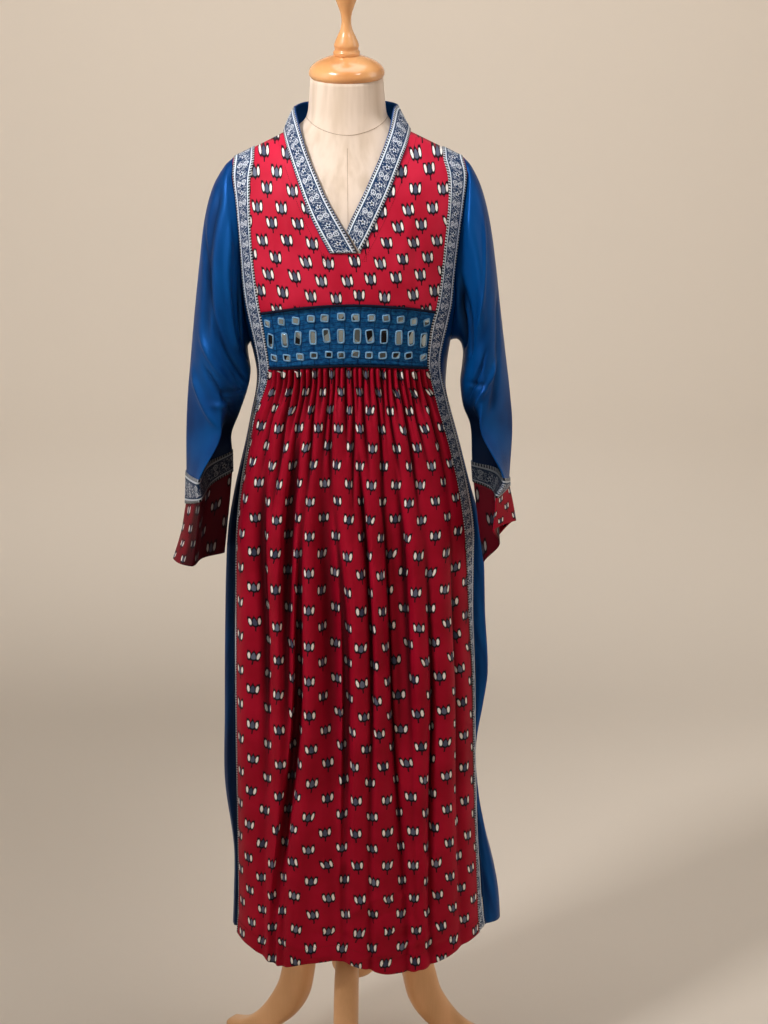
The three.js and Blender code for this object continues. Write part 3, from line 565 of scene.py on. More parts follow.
def path_tube(line, normal, radius, sides=10):
    """Rings of a cord: circles about each point of a line, in the plane square to it."""
    along = unit(np.gradient(line, axis=0))
    up = unit(np.cross(along, normal))
    out = np.cross(up, along)
    a = turns(sides)[None, :, None]
    return line[:, None] + radius * (np.cos(a) * out[:, None] + np.sin(a) * up[:, None])


def many(name, shapes, faces, places, axes, material):
    """Small shapes in one mesh, each carried to its place by its own three axes. faces holds one
    array for each count of corners."""
    points = places[:, None] + np.einsum("nki,nij->nkj", shapes, axes)
    start = (np.arange(len(places)) * shapes.shape[1])[:, None, None]
    all_faces = [(f[None] + start).reshape(-1, f.shape[1]).tolist() for f in map(np.array, faces)]
    return put_mesh(name, points, sum(all_faces, []), material)


# ------------------------------------------------------------------ materials
def operation(kind):
    """A method of Value that adds one Math node of a kind."""
    def method(self, *others):
        return self.math(kind, *others)
    return method


class Value:
    """A socket that carries a number. Arithmetic on it adds Math nodes to its material."""

    def __init__(self, finish, socket):
        self.finish, self.socket = finish, socket

    def math(self, operation, *others):
        inputs = {0: self, **{i + 1: o for i, o in enumerate(others)}}
        return self.finish.node("ShaderNodeMath", {"operation": operation}, inputs)

    __add__ = __radd__ = operation("ADD")
    __sub__ = operation("SUBTRACT")
    __mul__ = __rmul__ = operation("MULTIPLY")
    __truediv__ = operation("DIVIDE")
    abs = operation("ABSOLUTE")
    floor = operation("FLOOR")
    fract = operation("FRACT")
    sin = operation("SINE")
    sqrt = operation("SQRT")
    most = operation("MAXIMUM")
    least = operation("MINIMUM")

    def __neg__(self):
        return self * -1.0

    def __rsub__(self, other):
        return -self + other

    def eased(self, low, high):
        """0 below low, 1 above high and an eased step between; low may be above high."""
        inputs = {"Value": self, "From Min": low, "From Max": high, "To Min": 0.0, "To Max": 1.0}
        return self.finish.node("ShaderNodeMapRange", {"interpolation_type": "SMOOTHSTEP"}, inputs)


class Finish:
    """A procedural material under construction."""

    def __init__(self, name):
        self.material = bpy.data.materials.new(name)
        self.material.use_nodes = True
        self.tree = self.material.node_tree
        self.tree.nodes.clear()
        self.surface = self.tree.nodes.new("ShaderNodeBsdfPrincipled")
        out = self.tree.nodes.new("ShaderNodeOutputMaterial")
        self.tree.links.new(self.surface.outputs[0], out.inputs[0])

    def node(self, kind, settings=None, inputs=None, output=0):
        """A node of a kind: its settings first, then the values or links of its sockets."""
        made = self.tree.nodes.new(kind)
        for key, value in (settings or {}).items():
            setattr(made, key, value)
        for key, value in (inputs or {}).items():
            self.feed(made.inputs[key], value)
        return Value(self, made.outputs[output])

    def feed(self, socket, value):
        if isinstance(value, Value):
            self.tree.links.new(value.socket, socket)
        else:
            socket.default_value = value

    def set(self, **sockets):
        for name, value in sockets.items():
            self.feed(self.surface.inputs[name.replace("_", " ")], value)
        return self.material

    def numbers(self, of, kind="ShaderNodeSeparateXYZ"):
        """The three numbers of a vector, or of a colour."""
        first = self.node(kind, None, {0: of})
        return [Value(self, socket) for socket in first.socket.node.outputs]

    def cut(self):
        """The place on the cut cloth in millimetres, across and down."""
        x, y, _ = self.numbers(self.node("ShaderNodeUVMap", {"uv_map": "cut"}))
        return x * 1000.0, y * 1000.0

    def at(self, x, y, z=0.0):
        return self.node("ShaderNodeCombineXYZ", None, {0: x, 1: y, 2: z})

    def place(self):
        """The place in the row frame, in metres."""
        return self.node("ShaderNodeTexCoord", output="Object")

    def noise(self, where, scale, detail=2.0, rough=0.5):
        inputs = {"Vector": where, "Scale": scale, "Detail": detail, "Roughness": rough}
        return self.node("ShaderNodeTexNoise", None, inputs)

    def shade(self):
        """The shade marked on the piece, 0 where none is."""
        return self.node("ShaderNodeAttribute", {"attribute_name": "shade"}, None, 2)

    def blend(self, share, a, b):
        """Colour a where share is 0 and b where it is 1."""
        return self.node("ShaderNodeMix", {"data_type": "RGBA"}, {0: share, 6: a, 7: b}, 2)

    def bump(self, height, distance, strength=1.0):
        inputs = {"Height": height, "Distance": distance, "Strength": strength}
        return self.node("ShaderNodeBump", None, inputs)


def paint(r, g, b):
    """Linear colour of an sRGB one given in 0 to 255."""
    c = np.array([r, g, b]) / 255
    line = np.where(c <= 0.04045, c / 12.92, ((c + 0.055) / 1.055) ** 2.4)
    return (*line.tolist(), 1.0)


def weave(f, x, y, pitch):
    """Height of a plain weave: threads of one pitch across and down."""
    k = 2 * np.pi / pitch
    return ((x * k).sin() * (y * k).sin()) * 0.5 + 0.5


def printed_cloth(name, across=41.0, down=27.4, lean=0.0, loose=1.6, tones=None, size=1.0):
    """Red cloth printed with small buds in a half-drop lattice: each bud has a grey-blue heart
    between two white petals, dark outlines, three points above and a short stem."""
    f = Finish(name)
    x, y = f.cut()
    ground = f.at(x, y)
    wander = f.noise(ground, 0.02, 1.0)
    drift = f.noise(f.at(x, y, 40.0), 0.007, 0.0) - 0.5
    drift2 = f.noise(f.at(x, y, 90.0), 0.007, 0.0) - 0.5
    x1, y1 = x + y * lean + drift * 16.0, y + drift2 * 14.0
    row = (y1 / down).floor()
    xs = x1 / across + (row * 0.5).fract()
    column = xs.floor()
    chance = f.node("ShaderNodeTexWhiteNoise", {"noise_dimensions": "2D"},
                    {"Vector": f.at(column, row)})
    chance2 = f.node("ShaderNodeTexWhiteNoise", {"noise_dimensions": "3D"},
                     {"Vector": f.at(column, row, 7.0)})
    fine = f.noise(ground, 0.35, 2.0) - 0.5
    lx = (xs.fract() - 0.5) * across + (chance - 0.5) * loose
    ly = ((y1 / down).fract() - 0.5) * down + (chance2 - 0.5) * loose - 2.0
    turn = (chance - 0.5) * 0.22
    px = (lx - ly * turn + fine) / size
    py = (ly + lx * turn + fine * 0.8) / size
    ax = px.abs()

    def oval(cx, cy, rx, ry, xx=ax, bow=0.0):
        """Distance-like measure of an oval, negative inside, in millimetres."""
        u = (xx - cx - (py - cy) * bow) / rx
        v = (py - cy) / ry
        return ((u * u + v * v).sqrt() - 1.0) * min(rx, ry)

    petal = oval(5.2, 0.2, 1.75, 5.4, bow=0.07)
    narrow = (py * 0.22).eased(-1.4, 1.6)
    heart = oval(0.0, -0.6, 2.8, 5.8, xx=px * (narrow * 0.7 + 0.78))
    tip_side = ((ax - 6.6 - (py - 6.0) * 0.34).abs() - (9.4 - py) * 0.36).most(3.4 - py)
    tip_mid = (ax - (9.8 - py) * 0.34).most(3.0 - py)
    stem = ((px - (py + 9.0) * 0.06).abs() - 0.8).most((py + 10.4).abs() - 4.6)
    cup = oval(0.0, -2.4, 5.6, 4.2, xx=px)
    dark = (petal - 1.0).least(heart - 1.2).least(tip_side).least(tip_mid).least(stem).least(cup)
    ink = dark.eased(0.45, -0.35)
    white = petal.eased(0.2, -0.4)
    grey = heart.eased(0.2, -0.5)
    wash = f.noise(ground, 0.012, 3.0)
    deep, lit = tones or (paint(150, 6, 34), paint(172, 12, 44))
    red = f.blend(wash.eased(0.3, 0.7), deep, lit)
    colour = f.blend(ink, red, paint(17, 12, 24))
    heart_colour = f.blend(chance2, paint(58, 64, 88), paint(112, 118, 140))
    colour = f.blend(grey * (1.0 - fine.abs() * 0.8), colour, heart_colour)
    colour = f.blend(white, colour, paint(250, 243, 238))
    colour = f.blend(f.shade() * 0.8, colour, paint(18, 2, 7))
    threads = weave(f, x, y, 0.9)
    slub = f.noise(f.at(x * 0.15, y * 2.0), 1.0, 2.0)
    return f.set(Base_Color=colour, Roughness=wander * 0.12 + 0.5, Specular_IOR_Level=0.1,
                 Normal=f.bump(threads * 0.5 + slub * 0.5, 0.0002, 0.5))


def satin(name, lit, deep, rough=0.37):
    """Close satin: long floats along the cloth over a darker ground, with a soft coloured shine."""
    f = Finish(name)
    x, y = f.cut()
    where = f.at(x, y)
    broad = f.noise(where, 0.012, 2.0)
    floats = f.noise(f.at(x * 1.4, y * 0.06), 1.0, 2.0)
    colour = f.blend(broad.eased(0.3, 0.75), lit, deep)
    colour = f.blend(f.shade() * 0.9, colour, paint(2, 4, 10))
    return f.set(Base_Color=colour, Metallic=0.36, Roughness=floats * 0.1 + rough,
                 Specular_IOR_Level=0.14, Normal=f.bump(floats, 0.00025, 0.5))


REPEAT, PICOT = 30.0, 4.1  # the lace's pattern along the band, in millimetres


def lace_trim(name, half):
    """Woven lace band: picots of dark and light squares at both edges, a white line and a fine
    blue line inside them, and a field of scrolls with a five-petalled flower every 30 mm."""
    f = Finish(name)
    t, s = f.cut()
    a = t.abs() / half * LACE_HALF
    fine = f.noise(f.at(t, s), 0.7, 2.0)
    beads = (s * (2 * np.pi / PICOT)).sin().eased(-0.25, 0.25)
    sp = ((s / REPEAT).fract() - 0.5) * REPEAT
    tt = t / half * LACE_HALF
    r = (sp * sp + tt * tt).sqrt()
    angle = tt.math("ARCTAN2", sp)
    rosette = ((r - 2.9 - (angle * 5.0).math("COSINE") * 1.3).eased(0.4, -0.3)) * r.eased(1.2, 1.6)
    heart = r.eased(1.5, 1.1)
    so = ((s / REPEAT + 0.5).fract() - 0.5) * REPEAT
    ta = tt.abs() - 4.2
    curl_r = (so * so + ta * ta).sqrt()
    curl = ((curl_r - 3.1).abs().eased(0.9, 0.4)).most(curl_r.eased(1.2, 0.8))
    wave = ((tt - (s * (4 * np.pi / REPEAT)).sin() * 6.0).abs()).eased(1.0, 0.5)
    buds = f.node("ShaderNodeTexVoronoi", {"feature": "DISTANCE_TO_EDGE"},
                  {"Vector": f.at(tt, s), "Scale": 0.34})
    blobs = buds.eased(0.12, 0.22)
    field = rosette.most(curl).most(wave * 0.85).most(blobs * 0.6 * r.eased(4.6, 5.2))
    field = field * (1.0 - heart)
    inside = a.eased(8.9, 8.5)
    teal = a.eased(8.5, 8.9) * a.eased(10.2, 9.9)
    line = a.eased(9.9, 10.2) * a.eased(12.1, 11.8)
    edge = a.eased(11.9, 12.2)
    silver = f.blend(fine, paint(200, 210, 226), paint(242, 245, 250))
    ground = f.blend(fine, paint(14, 42, 80), paint(28, 64, 106))
    colour = f.blend(field * inside, ground, silver)
    colour = f.blend(heart * inside, colour, paint(10, 10, 16))
    colour = f.blend(teal, colour, paint(24, 62, 98))
    colour = f.blend(line, colour, paint(226, 234, 244))
    picot = f.blend(beads, paint(10, 12, 20), paint(196, 200, 208))
    colour = f.blend(edge, colour, picot)
    colour = f.blend(f.shade() * 0.86, colour, paint(4, 7, 14))
    height = (field * inside).most(line).most(beads * edge)
    grain = weave(f, t, s, 0.8)
    return f.set(Base_Color=colour, Roughness=0.5, Metallic=(field * inside).most(line) * 0.15,
                 Specular_IOR_Level=0.12, Normal=f.bump(height + grain * 0.15, 0.0007, 0.8))


def belt_cloth(name):
    """Blue quilted cloth: slubby threads, and stitched channels between the mirror rows, pressed in
    and darkened with painted shade.
    """
    f = Finish(name)
    x, y = f.cut()
    where = f.at(x, y)
    mottle = f.noise(where, 0.16, 4.0, 0.65)
    sway = f.noise(where, 0.03, 2.0) * 9.0
    lines = ((y + sway) * (2 * np.pi / 14.0)).sin().abs()
    uprights = ((x + sway) * (np.pi / 19.6)).sin().abs()
    channel = lines.eased(0.22, 0.02).most(uprights.eased(0.2, 0.02) * 0.8)
    colour = f.blend(mottle.eased(0.3, 0.7), paint(4, 54, 108), paint(30, 102, 160))
    # painted shade: the pressed-in stitched channels are darkened as if in shadow
    colour = f.blend(channel * 0.85, colour, paint(4, 32, 76))
    threads = weave(f, x, y, 1.1)
    return f.set(Base_Color=colour, Roughness=0.6, Specular_IOR_Level=0.08,
                 Normal=f.bump(mottle * 0.6 + threads * 0.1 - channel * 0.8, 0.0016, 0.8))


def plain_thread(name, colour, other, rough=0.6):
    """Twisted thread: fine diagonal turns in two close colours."""
    f = Finish(name)
    where = f.place()
    twist = f.noise(where, 900.0, 1.0)
    return f.set(Base_Color=f.blend(twist, colour, other), Roughness=rough, Specular_IOR_Level=0.15,
                 Normal=f.bump(twist, 0.0003, 0.6))


def mirror_glass(name):
    """Small hand-set mirrors: dull silvered glass, each with its own tone from near black to pale,
    which is partly its silvering and partly painted reflection.
    """
    f = Finish(name)
    where = f.place()
    cell = f.node("ShaderNodeTexVoronoi", None, {"Vector": where, "Scale": 55.0}, 1)
    tone, _, _ = f.numbers(cell, "ShaderNodeSeparateColor")
    cloud = f.noise(where, 240.0, 2.0)
    # Each mirror's tone, near black to pale grey, is partly its silvering and partly painted
    # reflection.
    colour = f.blend(tone.eased(0.15, 0.75), paint(34, 30, 32), paint(176, 190, 196))
    return f.set(Base_Color=colour, Metallic=0.9, Roughness=cloud * 0.12 + 0.12)


def form_cloth(name):
    """Unbleached jersey stretched over the form: fine ribs, faint upright streaks."""
    f = Finish(name)
    x, y, z = f.numbers(f.place())
    streaks = f.noise(f.at(x * 60.0, y * 60.0, z * 3.0), 1.0, 3.0)
    ribs = (x * 5200.0).sin() * 0.5 + 0.5
    colour = f.blend(streaks.eased(0.3, 0.75), paint(234, 214, 196), paint(214, 192, 170))
    return f.set(Base_Color=colour, Roughness=0.85, Sheen_Weight=0.2,
                 Normal=f.bump(ribs * 0.3 + streaks, 0.0003, 0.4))


def wood(name, pale, dark, rough, coat):
    """Varnished wood: long wavering growth lines along the piece and fine pores."""
    f = Finish(name)
    where = f.place()
    x, y, z = f.numbers(where)
    warp = f.noise(where, 9.0, 2.0)
    rings = ((x * 90.0 + y * 55.0 + z * 14.0) + warp * 7.0).sin() * 0.5 + 0.5
    pores = f.noise(f.at(x * 420.0, y * 420.0, z * 26.0), 1.0, 2.0)
    colour = f.blend(rings * 0.6 + pores * 0.3, pale, dark)
    return f.set(Base_Color=colour, Roughness=pores * 0.08 + rough, Coat_Weight=coat,
                 Coat_Roughness=0.12, Normal=f.bump(pores, 0.0002, 0.3))


RED_PRINT = printed_cloth("red printed cotton")
# The bodice's print is the skirt's cloth in brighter tones: painted light on the bodice, which
# faces the lamps.
BODICE_PRINT = printed_cloth("red printed cotton, cut on the slant, in painted light", 38.0, 25.0, 0.16, 6.5,
                             (paint(184, 22, 50), paint(206, 36, 66)), size=1.14)
# The left cuff has the same print in darker tones: painted shade, as that cuff hangs in shadow.
CUFF_PRINTS = {
    "left": printed_cloth("red printed cotton, left cuff in painted shade",
                          tones=(paint(112, 4, 26), paint(134, 8, 34))),
    "right": printed_cloth("red printed cotton, right cuff"),
}
SATIN = satin("blue satin", paint(0, 78, 148), paint(0, 50, 110))
TRIM_LACE = lace_trim("silver lace band", LACE_HALF)
BELT_CLOTH = belt_cloth("quilted blue cloth")
NAVY_CORD = plain_thread("navy cord", paint(7, 10, 26), paint(16, 20, 44), 0.85)
FRAME_THREAD = plain_thread("pale blue thread", paint(96, 150, 196), paint(150, 190, 220), 0.5)
STITCH_RED = plain_thread("dark red thread", paint(120, 6, 22), paint(92, 2, 14))
MIRROR = mirror_glass("small mirrors")
FORM_CLOTH = form_cloth("form jersey")
SEAM_THREAD = plain_thread("form seam thread", paint(184, 160, 138), paint(160, 136, 116), 0.8)
CAP_WOOD = wood("varnished cap wood", paint(238, 178, 118), paint(212, 140, 80), 0.22, 0.7)
STAND_WOOD = wood("stand wood", paint(244, 190, 138), paint(214, 160, 108), 0.4, 0.25)


# ------------------------------------------------------------------ the front of the kurti
def skirt_points(u, share):
    """The front skirt: hem to belt, with long folds and gathers pushed out of the worn surface."""
    top = arched(u, WAIST, ARCH_BOTTOM) - SEAM / 2
    z = HEM + share * (WAIST - HEM) + HEM_DROP.read("dz", u) * (1 - share) ** 3
    z = z + (top - WAIST) * smooth(share, 0.5, 1.0)
    x = front_x(u, z)
    out, side = fold_relief(LONG_FOLDS, u, z, sided("T", u, z))
    quiet = 1 - smooth(np.abs(u), 0.93, 1.1)
    level = smooth(top - z, 0, 60)
    out = (out * mix(0.25, 1, level) + gather_relief(u, z, top)) * quiet
    room = mix(30.0, 4.0, smooth(z, 820, 1190))
    out = np.where(out < 0, -room * np.tanh(-out / room), out)
    out = out - tuck_back(u, z)
    x = x + side * quiet * level
    ripple = 1.3 * np.sin(x / 17 + z / 120) * smooth(z, 1100, 700) * quiet
    ripple = ripple + wrinkle_relief(x, z) * quiet * smooth(z, 244, 262)
    edge = HEM + HEM_DROP.read("dz", u)
    ripple = ripple + 0.7 * (1 - smooth(z - edge, 23, 27)) * quiet
    p = worn(x, z)
    return p + outward(p) * (out + ripple)[..., None]


def tuck_back(u, z):
    """How far the trim and seam columns stand behind the red edge, on the left and on the right."""
    left = smooth(-u, 0.985, 1.22) * 11.0 * smooth(1150 - z, 0, 330) * smooth(z, 238, 262)
    right = smooth(u, 0.985, 1.15) * 4.5 * smooth(1120 - z, 0, 330) * smooth(z, 262, 330)
    return left + right


def belt_points(u, share):
    """The waist belt between its two arched edges, a little full between the seams."""
    low, high = arched(u, WAIST, ARCH_BOTTOM), arched(u, BELT_TOP, ARCH_TOP)
    z = mix(low + SEAM / 2, high - SEAM / 2, share)
    p = worn(front_x(u, z), z)
    return p + outward(p) * (0.9 * np.sin(np.pi * share))[..., None]


def bodice_columns():
    """Columns of the bodice and the height each reaches: neckline, shoulder, trim and seam."""
    heights = NECK["z"].copy()
    heights[0] -= 2 * SEAM
    sides = []
    for hand, sign in (("L", -1.0), ("R", 1.0)):
        trim = BODY.read("T" + hand, NECK["z"])
        neck_u = NECK["x" + hand] / trim
        over = BODY.read("T" + hand, ridge(BODY.read("T" + hand, 1515.0)))
        shoulder = np.array([106.0, 121.0])
        outer = sign * np.array([1.0, 1.5, 2.0])
        u = np.concatenate([neck_u, sign * shoulder / over, outer])
        tops = np.concatenate([heights, ridge(shoulder), ridge(shoulder_x(outer))])
        sides.append((u, tops))
    (ul, tl), (ur, tr) = sides
    u = np.concatenate([ul[::-1], [-0.035], ur])
    tops = np.concatenate([tl[::-1], [heights[0]], tr])
    return finer(u, 8), finer(tops, 8)


def finer(values, steps):
    """Values with straight steps put in between them."""
    last = len(values) - 1
    return np.interp(np.linspace(0, last, steps * last + 1), np.arange(last + 1), values)


def bodice_points(u, top, share):
    """The bodice from the belt up to its top, drawn in slantwise under the neck and gathered a
    little at the belt."""
    z = mix(arched(u, BELT_TOP, ARCH_TOP) + SEAM / 2, top, share)
    x, a = front_x(u, z), np.abs(u)
    p = worn(x, z)
    quiet = (1 - smooth(a, 0.9, 1.15)) * np.sin(np.pi * np.clip(share, 0, 1)) ** 0.7
    pull = 2.2 * np.exp(-(((a - 0.45 - 0.35 * share) / 0.09) ** 2)) * smooth(share, 0.0, 0.2)
    tuck = -1.8 * np.exp(-(((a - 0.74 + 0.1 * share) / 0.05) ** 2)) * (1 - smooth(share, 0.3, 0.7))
    gather = 1.2 * np.sin(x / 4.2) * np.exp(-share * 9)
    return p + outward(p) * ((pull + tuck + gather) * quiet)[..., None]


def front_pieces():
    """Skirt, belt and bodice, each on its own grid of columns and shares of the height."""
    u, share = np.meshgrid(np.linspace(-2, 2, 331), np.linspace(0, 1, 148) ** 1.1)
    u = np.sign(u) * np.where(np.abs(u) < 1.6, np.abs(u) / 1.6, 1 + (np.abs(u) - 1.6) / 0.4)
    skirt = skirt_points(u, share)
    uv = cut_lengths(skirt, 455.0)
    skirt_piece = sheet_shell("skirt_front_cloth", skirt, CLOTH, RED_PRINT, uv)
    mark_shade(skirt_piece, fold_shade(skirt, 1))
    u, share = np.meshgrid(np.linspace(-2, 2, 201), np.linspace(0, 1, 21))
    belt = belt_points(u, share)
    belt_piece = sheet_shell("waist_belt_cloth", belt, CLOTH, BELT_CLOTH, cut_lengths(belt, 300.0))
    columns, tops = bodice_columns()
    u, share = np.meshgrid(columns, np.linspace(0, 1, 71))
    bodice = bodice_points(u, tops[None], share)
    uv = np.stack([bodice[..., 0] * 1.04, bodice[..., 2] - 1300], -1) * MM
    bodice_piece = sheet_shell("front_bodice_cloth", bodice, CLOTH, BODICE_PRINT, uv)
    stand_for(skirt_piece, "skirt_front")
    stand_for(belt_piece, "waist_belt")
    stand_for(bodice_piece, "front_bodice")
    return skirt_piece, belt_piece, bodice_piece


skirt_piece, belt_piece, bodice_piece = front_pieces()


# ------------------------------------------------------------------ lace on the front
def trim_strip(sign):
    """The trim lies on the three outermost columns of the front, from hem to shoulder."""
    t = np.linspace(0.0, 1.0, 19)
    u = sign * (1 + 0.94 * t)
    low = skirt_points(*np.meshgrid(u, np.linspace(0, 1, 231)[:-1]))
    mid = belt_points(*np.meshgrid(u, np.linspace(0, 1, 25)[:-1]))
    share = np.linspace(0, 1, 71)
    uu, ss = np.meshgrid(u, share)
    top = bodice_points(uu, ridge(shoulder_x(u))[None], ss)
    return np.concatenate([low, mid, top])


def lace_piece(name, grid, node, flip):
    """A lace band on a grid, with a raised rib along each of its two white lines."""
    across = np.linspace(-LACE_HALF, LACE_HALF, grid.shape[1])[None, :]
    rib = 0.35 * np.exp(-(((np.abs(across) - 11.5) / 0.9) ** 2))
    outer = grid + grid_normals(grid, flip=flip) * (LIFT + LACE + rib)[..., None]
    uv = cut_grid(across, run(grid[:, grid.shape[1] // 2])[:, None])
    piece = sheet_shell(name, outer, LACE, TRIM_LACE, uv, flip=flip)
    return stand_for(piece, node)


trims = {
    side: lace_piece(f"side_trim_{side}_lace", trim_strip(sign), f"side_trim_{side}", sign < 0)
    for sign, side in ((-1, "left"), (1, "right"))}


# ------------------------------------------------------------------ back and sides
def back_columns():
    """Columns of the back and the height each reaches: nape, shoulder and seam."""
    heights = np.concatenate([NAPE["z"][::-1], ridge(np.array([92.0, 112, 132, 152]))])
    xs = np.concatenate([NAPE["x"][::-1], [92.0, 112, 132, 152]])
    us, tops = [], []
    for hand, sign in (("L", -1.0), ("R", 1.0)):
        seam = BODY.read("E" + hand, heights)
        us.append(np.append(sign * 2 * xs / seam, 2 * sign))
        tops.append(np.append(heights, ridge(shoulder_x(np.array([2.0 * sign])))))
    u = np.concatenate([us[0][::-1], us[1][1:]])
    top = np.concatenate([tops[0][::-1], tops[1][1:]])
    return finer(u, 11), finer(top, 11)


def back_piece():
    """The back in one length: straight rows up to the yoke, spread above it to the columns' tops,
    with long folds below the waist."""
    columns, tops = back_columns()
    tips = ridge(shoulder_x(2 * np.where(columns < 0, -1.0, 1.0)))
    seam = np.linspace(0, 1, 140)[:, None]
    z0 = HEM + seam * (tips[None] - HEM)
    share = np.clip((z0 - YOKE) / (tips[None] - YOKE), 0, 1)
    z = np.where(z0 <= YOKE, z0, mix(YOKE, tops[None], share))
    u = np.broadcast_to(columns[None], z.shape)
    out, side = fold_relief(BACK_FOLDS, u, z, sided("E", u, z) / 2)
    quiet = 1 - smooth(np.abs(u), 1.75, 1.97)
    p = worn(back_x(u, z) + side * quiet, z, 1)
    grid = p + outward(p) * (out * quiet * smooth(1230 - z, 0, 120))[..., None]
    uv = cut_lengths(grid, 430.0)
    piece = sheet_shell("back_cloth", grid, CLOTH, RED_PRINT, uv, flip=True)
    mark_shade(piece, fold_shade(grid, -1))
    return stand_for(piece, "back_panel")


def side_points(side, k, z0):
    """A side panel from the front seam (k 0) to the back seam (k 1), cut away for the armhole, and
    how far its folds and swing stand out of it."""
    sign = -1 if side == "L" else 1
    folds, swing = (SIDE_FOLDS_L, SWING_L) if side == "L" else (SIDE_FOLDS_R, SWING_R)
    bow = np.sin(np.pi * k)
    low = 1085.0
    top = YOKE - (YOKE - UNDERARM) * bow
    z = np.where(z0 <= low, z0, low + (z0 - low) * (top - low) / (YOKE - low))
    seam = BODY.read("E" + side, z)
    front = depth(sign * seam, z, -1) + SEAM + 0.1
    rear = depth(sign * (seam - BODY.read("inset", z)), z, 1) - SEAM - 0.1
    y = np.where(k <= 0.5, front, -rear) * np.cos(np.pi * k)
    reach = np.abs(y) / np.where(y < 0, BODY.read("F", z), BODY.read("B", z))
    x = BODY.read("W" + side, z) * np.maximum(1 - reach**ROUND, 0) ** (1 / ROUND)
    x = x + BODY.read("flare" + side, z) * bow**2
    out, _ = fold_relief(folds, k, z, 240.0)
    out = out * bow**0.5 * smooth(1180 - z, 0, 150) + swing.read("out", z) * bow**0.7
    return np.stack([sign * x, y, z], -1), out


def side_piece(side, name):
    """A side panel whose front edge follows the seam where the trim is tucked back, dark by it."""
    left = side == "L"
    k, z0 = np.meshgrid(np.linspace(0, 1, 71), np.linspace(HEM, YOKE, 151))
    p, out = side_points(side, k, z0)
    seam = np.full_like(k, -2.0 if left else 2.0)
    out = out - tuck_back(seam, p[..., 2]) * (1 - smooth(k, 0, 0.22))
    grid = p + grid_normals(p, flip=left) * out[..., None]
    piece = sheet_shell(
        f"side_panel_{name}_satin", grid, CLOTH, SATIN, cut_lengths(grid, 270.0), flip=left)
    near, far, most = (0.14, 0.40, 0.9) if left else (0.06, 0.24, 0.5)
    mark_shade(piece, (1 - smooth(k, near, far)) * smooth(1120 - z0, 0, 120) * most)
    return stand_for(piece, f"side_panel_{name}")


back = back_piece()
side_left, side_right = side_piece("L", "left"), side_piece("R", "right")


# ------------------------------------------------------------------ sleeves
AROUND = 160  # points round a sleeve
GIRTH, ROW_STEP = 420, 62  # mm round a sleeve and from one table row to the next
CUFF_ROW, HOLLOW_START = 9.0, 6.2  # rows where the cuff is and where the sleeve falls in


def sleeve_rings(sign, table):
    """Rings of a sleeve by the table's rows: points run from the outer point over the front to the
    inner point and back behind; a fold draws the front half to a ridge."""
    j = np.arange(AROUND)
    half = AROUND / 2
    s = np.where(j <= half, j, AROUND - j) / half
    front = (j > 0) & (j < half)
    c = {k: v[:, None] for k, v in table.columns.items()}
    sharp = np.where(front, c["fold"], 0.0)
    straight = np.where(s < 0.5, c["ridge"] * 2 * s, mix(c["ridge"], 1.0, 2 * s - 1))
    along = mix((1 - np.cos(np.pi * s)) / 2, straight, sharp)
    reach = mix(np.sin(np.pi * s), 1 - np.abs(2 * s - 1), sharp)
    y = c["y"] + np.where(front, -c["front"], c["back"]) * reach
    drop = np.where(front, c["dip"] * reach, 0.0)
    x, z = sign * mix(c["ox"], c["ix"], along), mix(c["oz"], c["iz"], along) - drop
    return np.stack([x, y, z], -1)


def armhole(sign):
    """The armhole's edge: shoulder tip, down the front seam, under the arm, up the back seam."""
    side = "L" if sign < 0 else "R"
    tip = shoulder_x(np.array([2.0 * sign]))
    top = np.stack([tip, 0 * tip, ridge(tip)], -1)
    seam, down, up = np.full(4, 2.0 * sign), ARMHOLE_ROWS[::-1], ARMHOLE_ROWS
    front = worn(front_x(seam, down), down)
    under, _ = side_points(side, np.linspace(0, 1, 11), np.full(11, YOKE))
    rear = worn(back_x(seam, up), up, 1)
    ring = np.concatenate([top, front, under, rear]) + [sign * 0.4, 0, 0]
    looped = np.concatenate([ring[-2:], ring, ring[:3]])
    at = np.arange(AROUND) * 20 / AROUND
    return hermite(np.arange(-2.0, 23.0), looped[:, None], at)[:, 0]


def blurred(rings, times):
    """Rings smoothed round their own length by a running mean of neighbours."""
    for _ in range(times):
        rings = (np.roll(rings, 1, 1) + 2 * rings + np.roll(rings, -1, 1)) / 4
    return rings


# Sleeve folds: place round the sleeve (0 outer, 0.25 front, 0.5 inner) and down it (rows) at the
# two ends of each crease, half width in mm and depth.
CREASES_L = Table("a0 r0 a1 r1 width depth", [
    [0.16, 5.9, 0.40, 6.9, 6, -4.0], [0.12, 5.2, 0.36, 6.1, 8, 4.0],
    [0.24, 6.3, 0.42, 6.0, 4.5, -3.0], [0.20, 6.8, 0.36, 6.5, 4.5, 3.0],
    [0.22, 4.4, 0.45, 5.6, 6, -3.5], [0.30, 0.6, 0.44, 3.4, 7, -6.0],
    [0.26, 5.2, 0.46, 6.5, 5, 2.6], [0.05, 3.0, 0.24, 4.8, 9, -2.5],
    [0.20, 0.9, 0.34, 4.2, 11, 4.0], [0.10, 1.4, 0.16, 5.0, 12, -3.5],
    [0.05, 6.2, 0.22, 7.4, 9, 4.0], [0.62, 1.2, 0.60, 4.6, 11, -5.0],
    [0.75, 2.0, 0.80, 6.6, 13, 4.5], [0.70, 5.4, 0.60, 8.0, 10, -4.5],
])
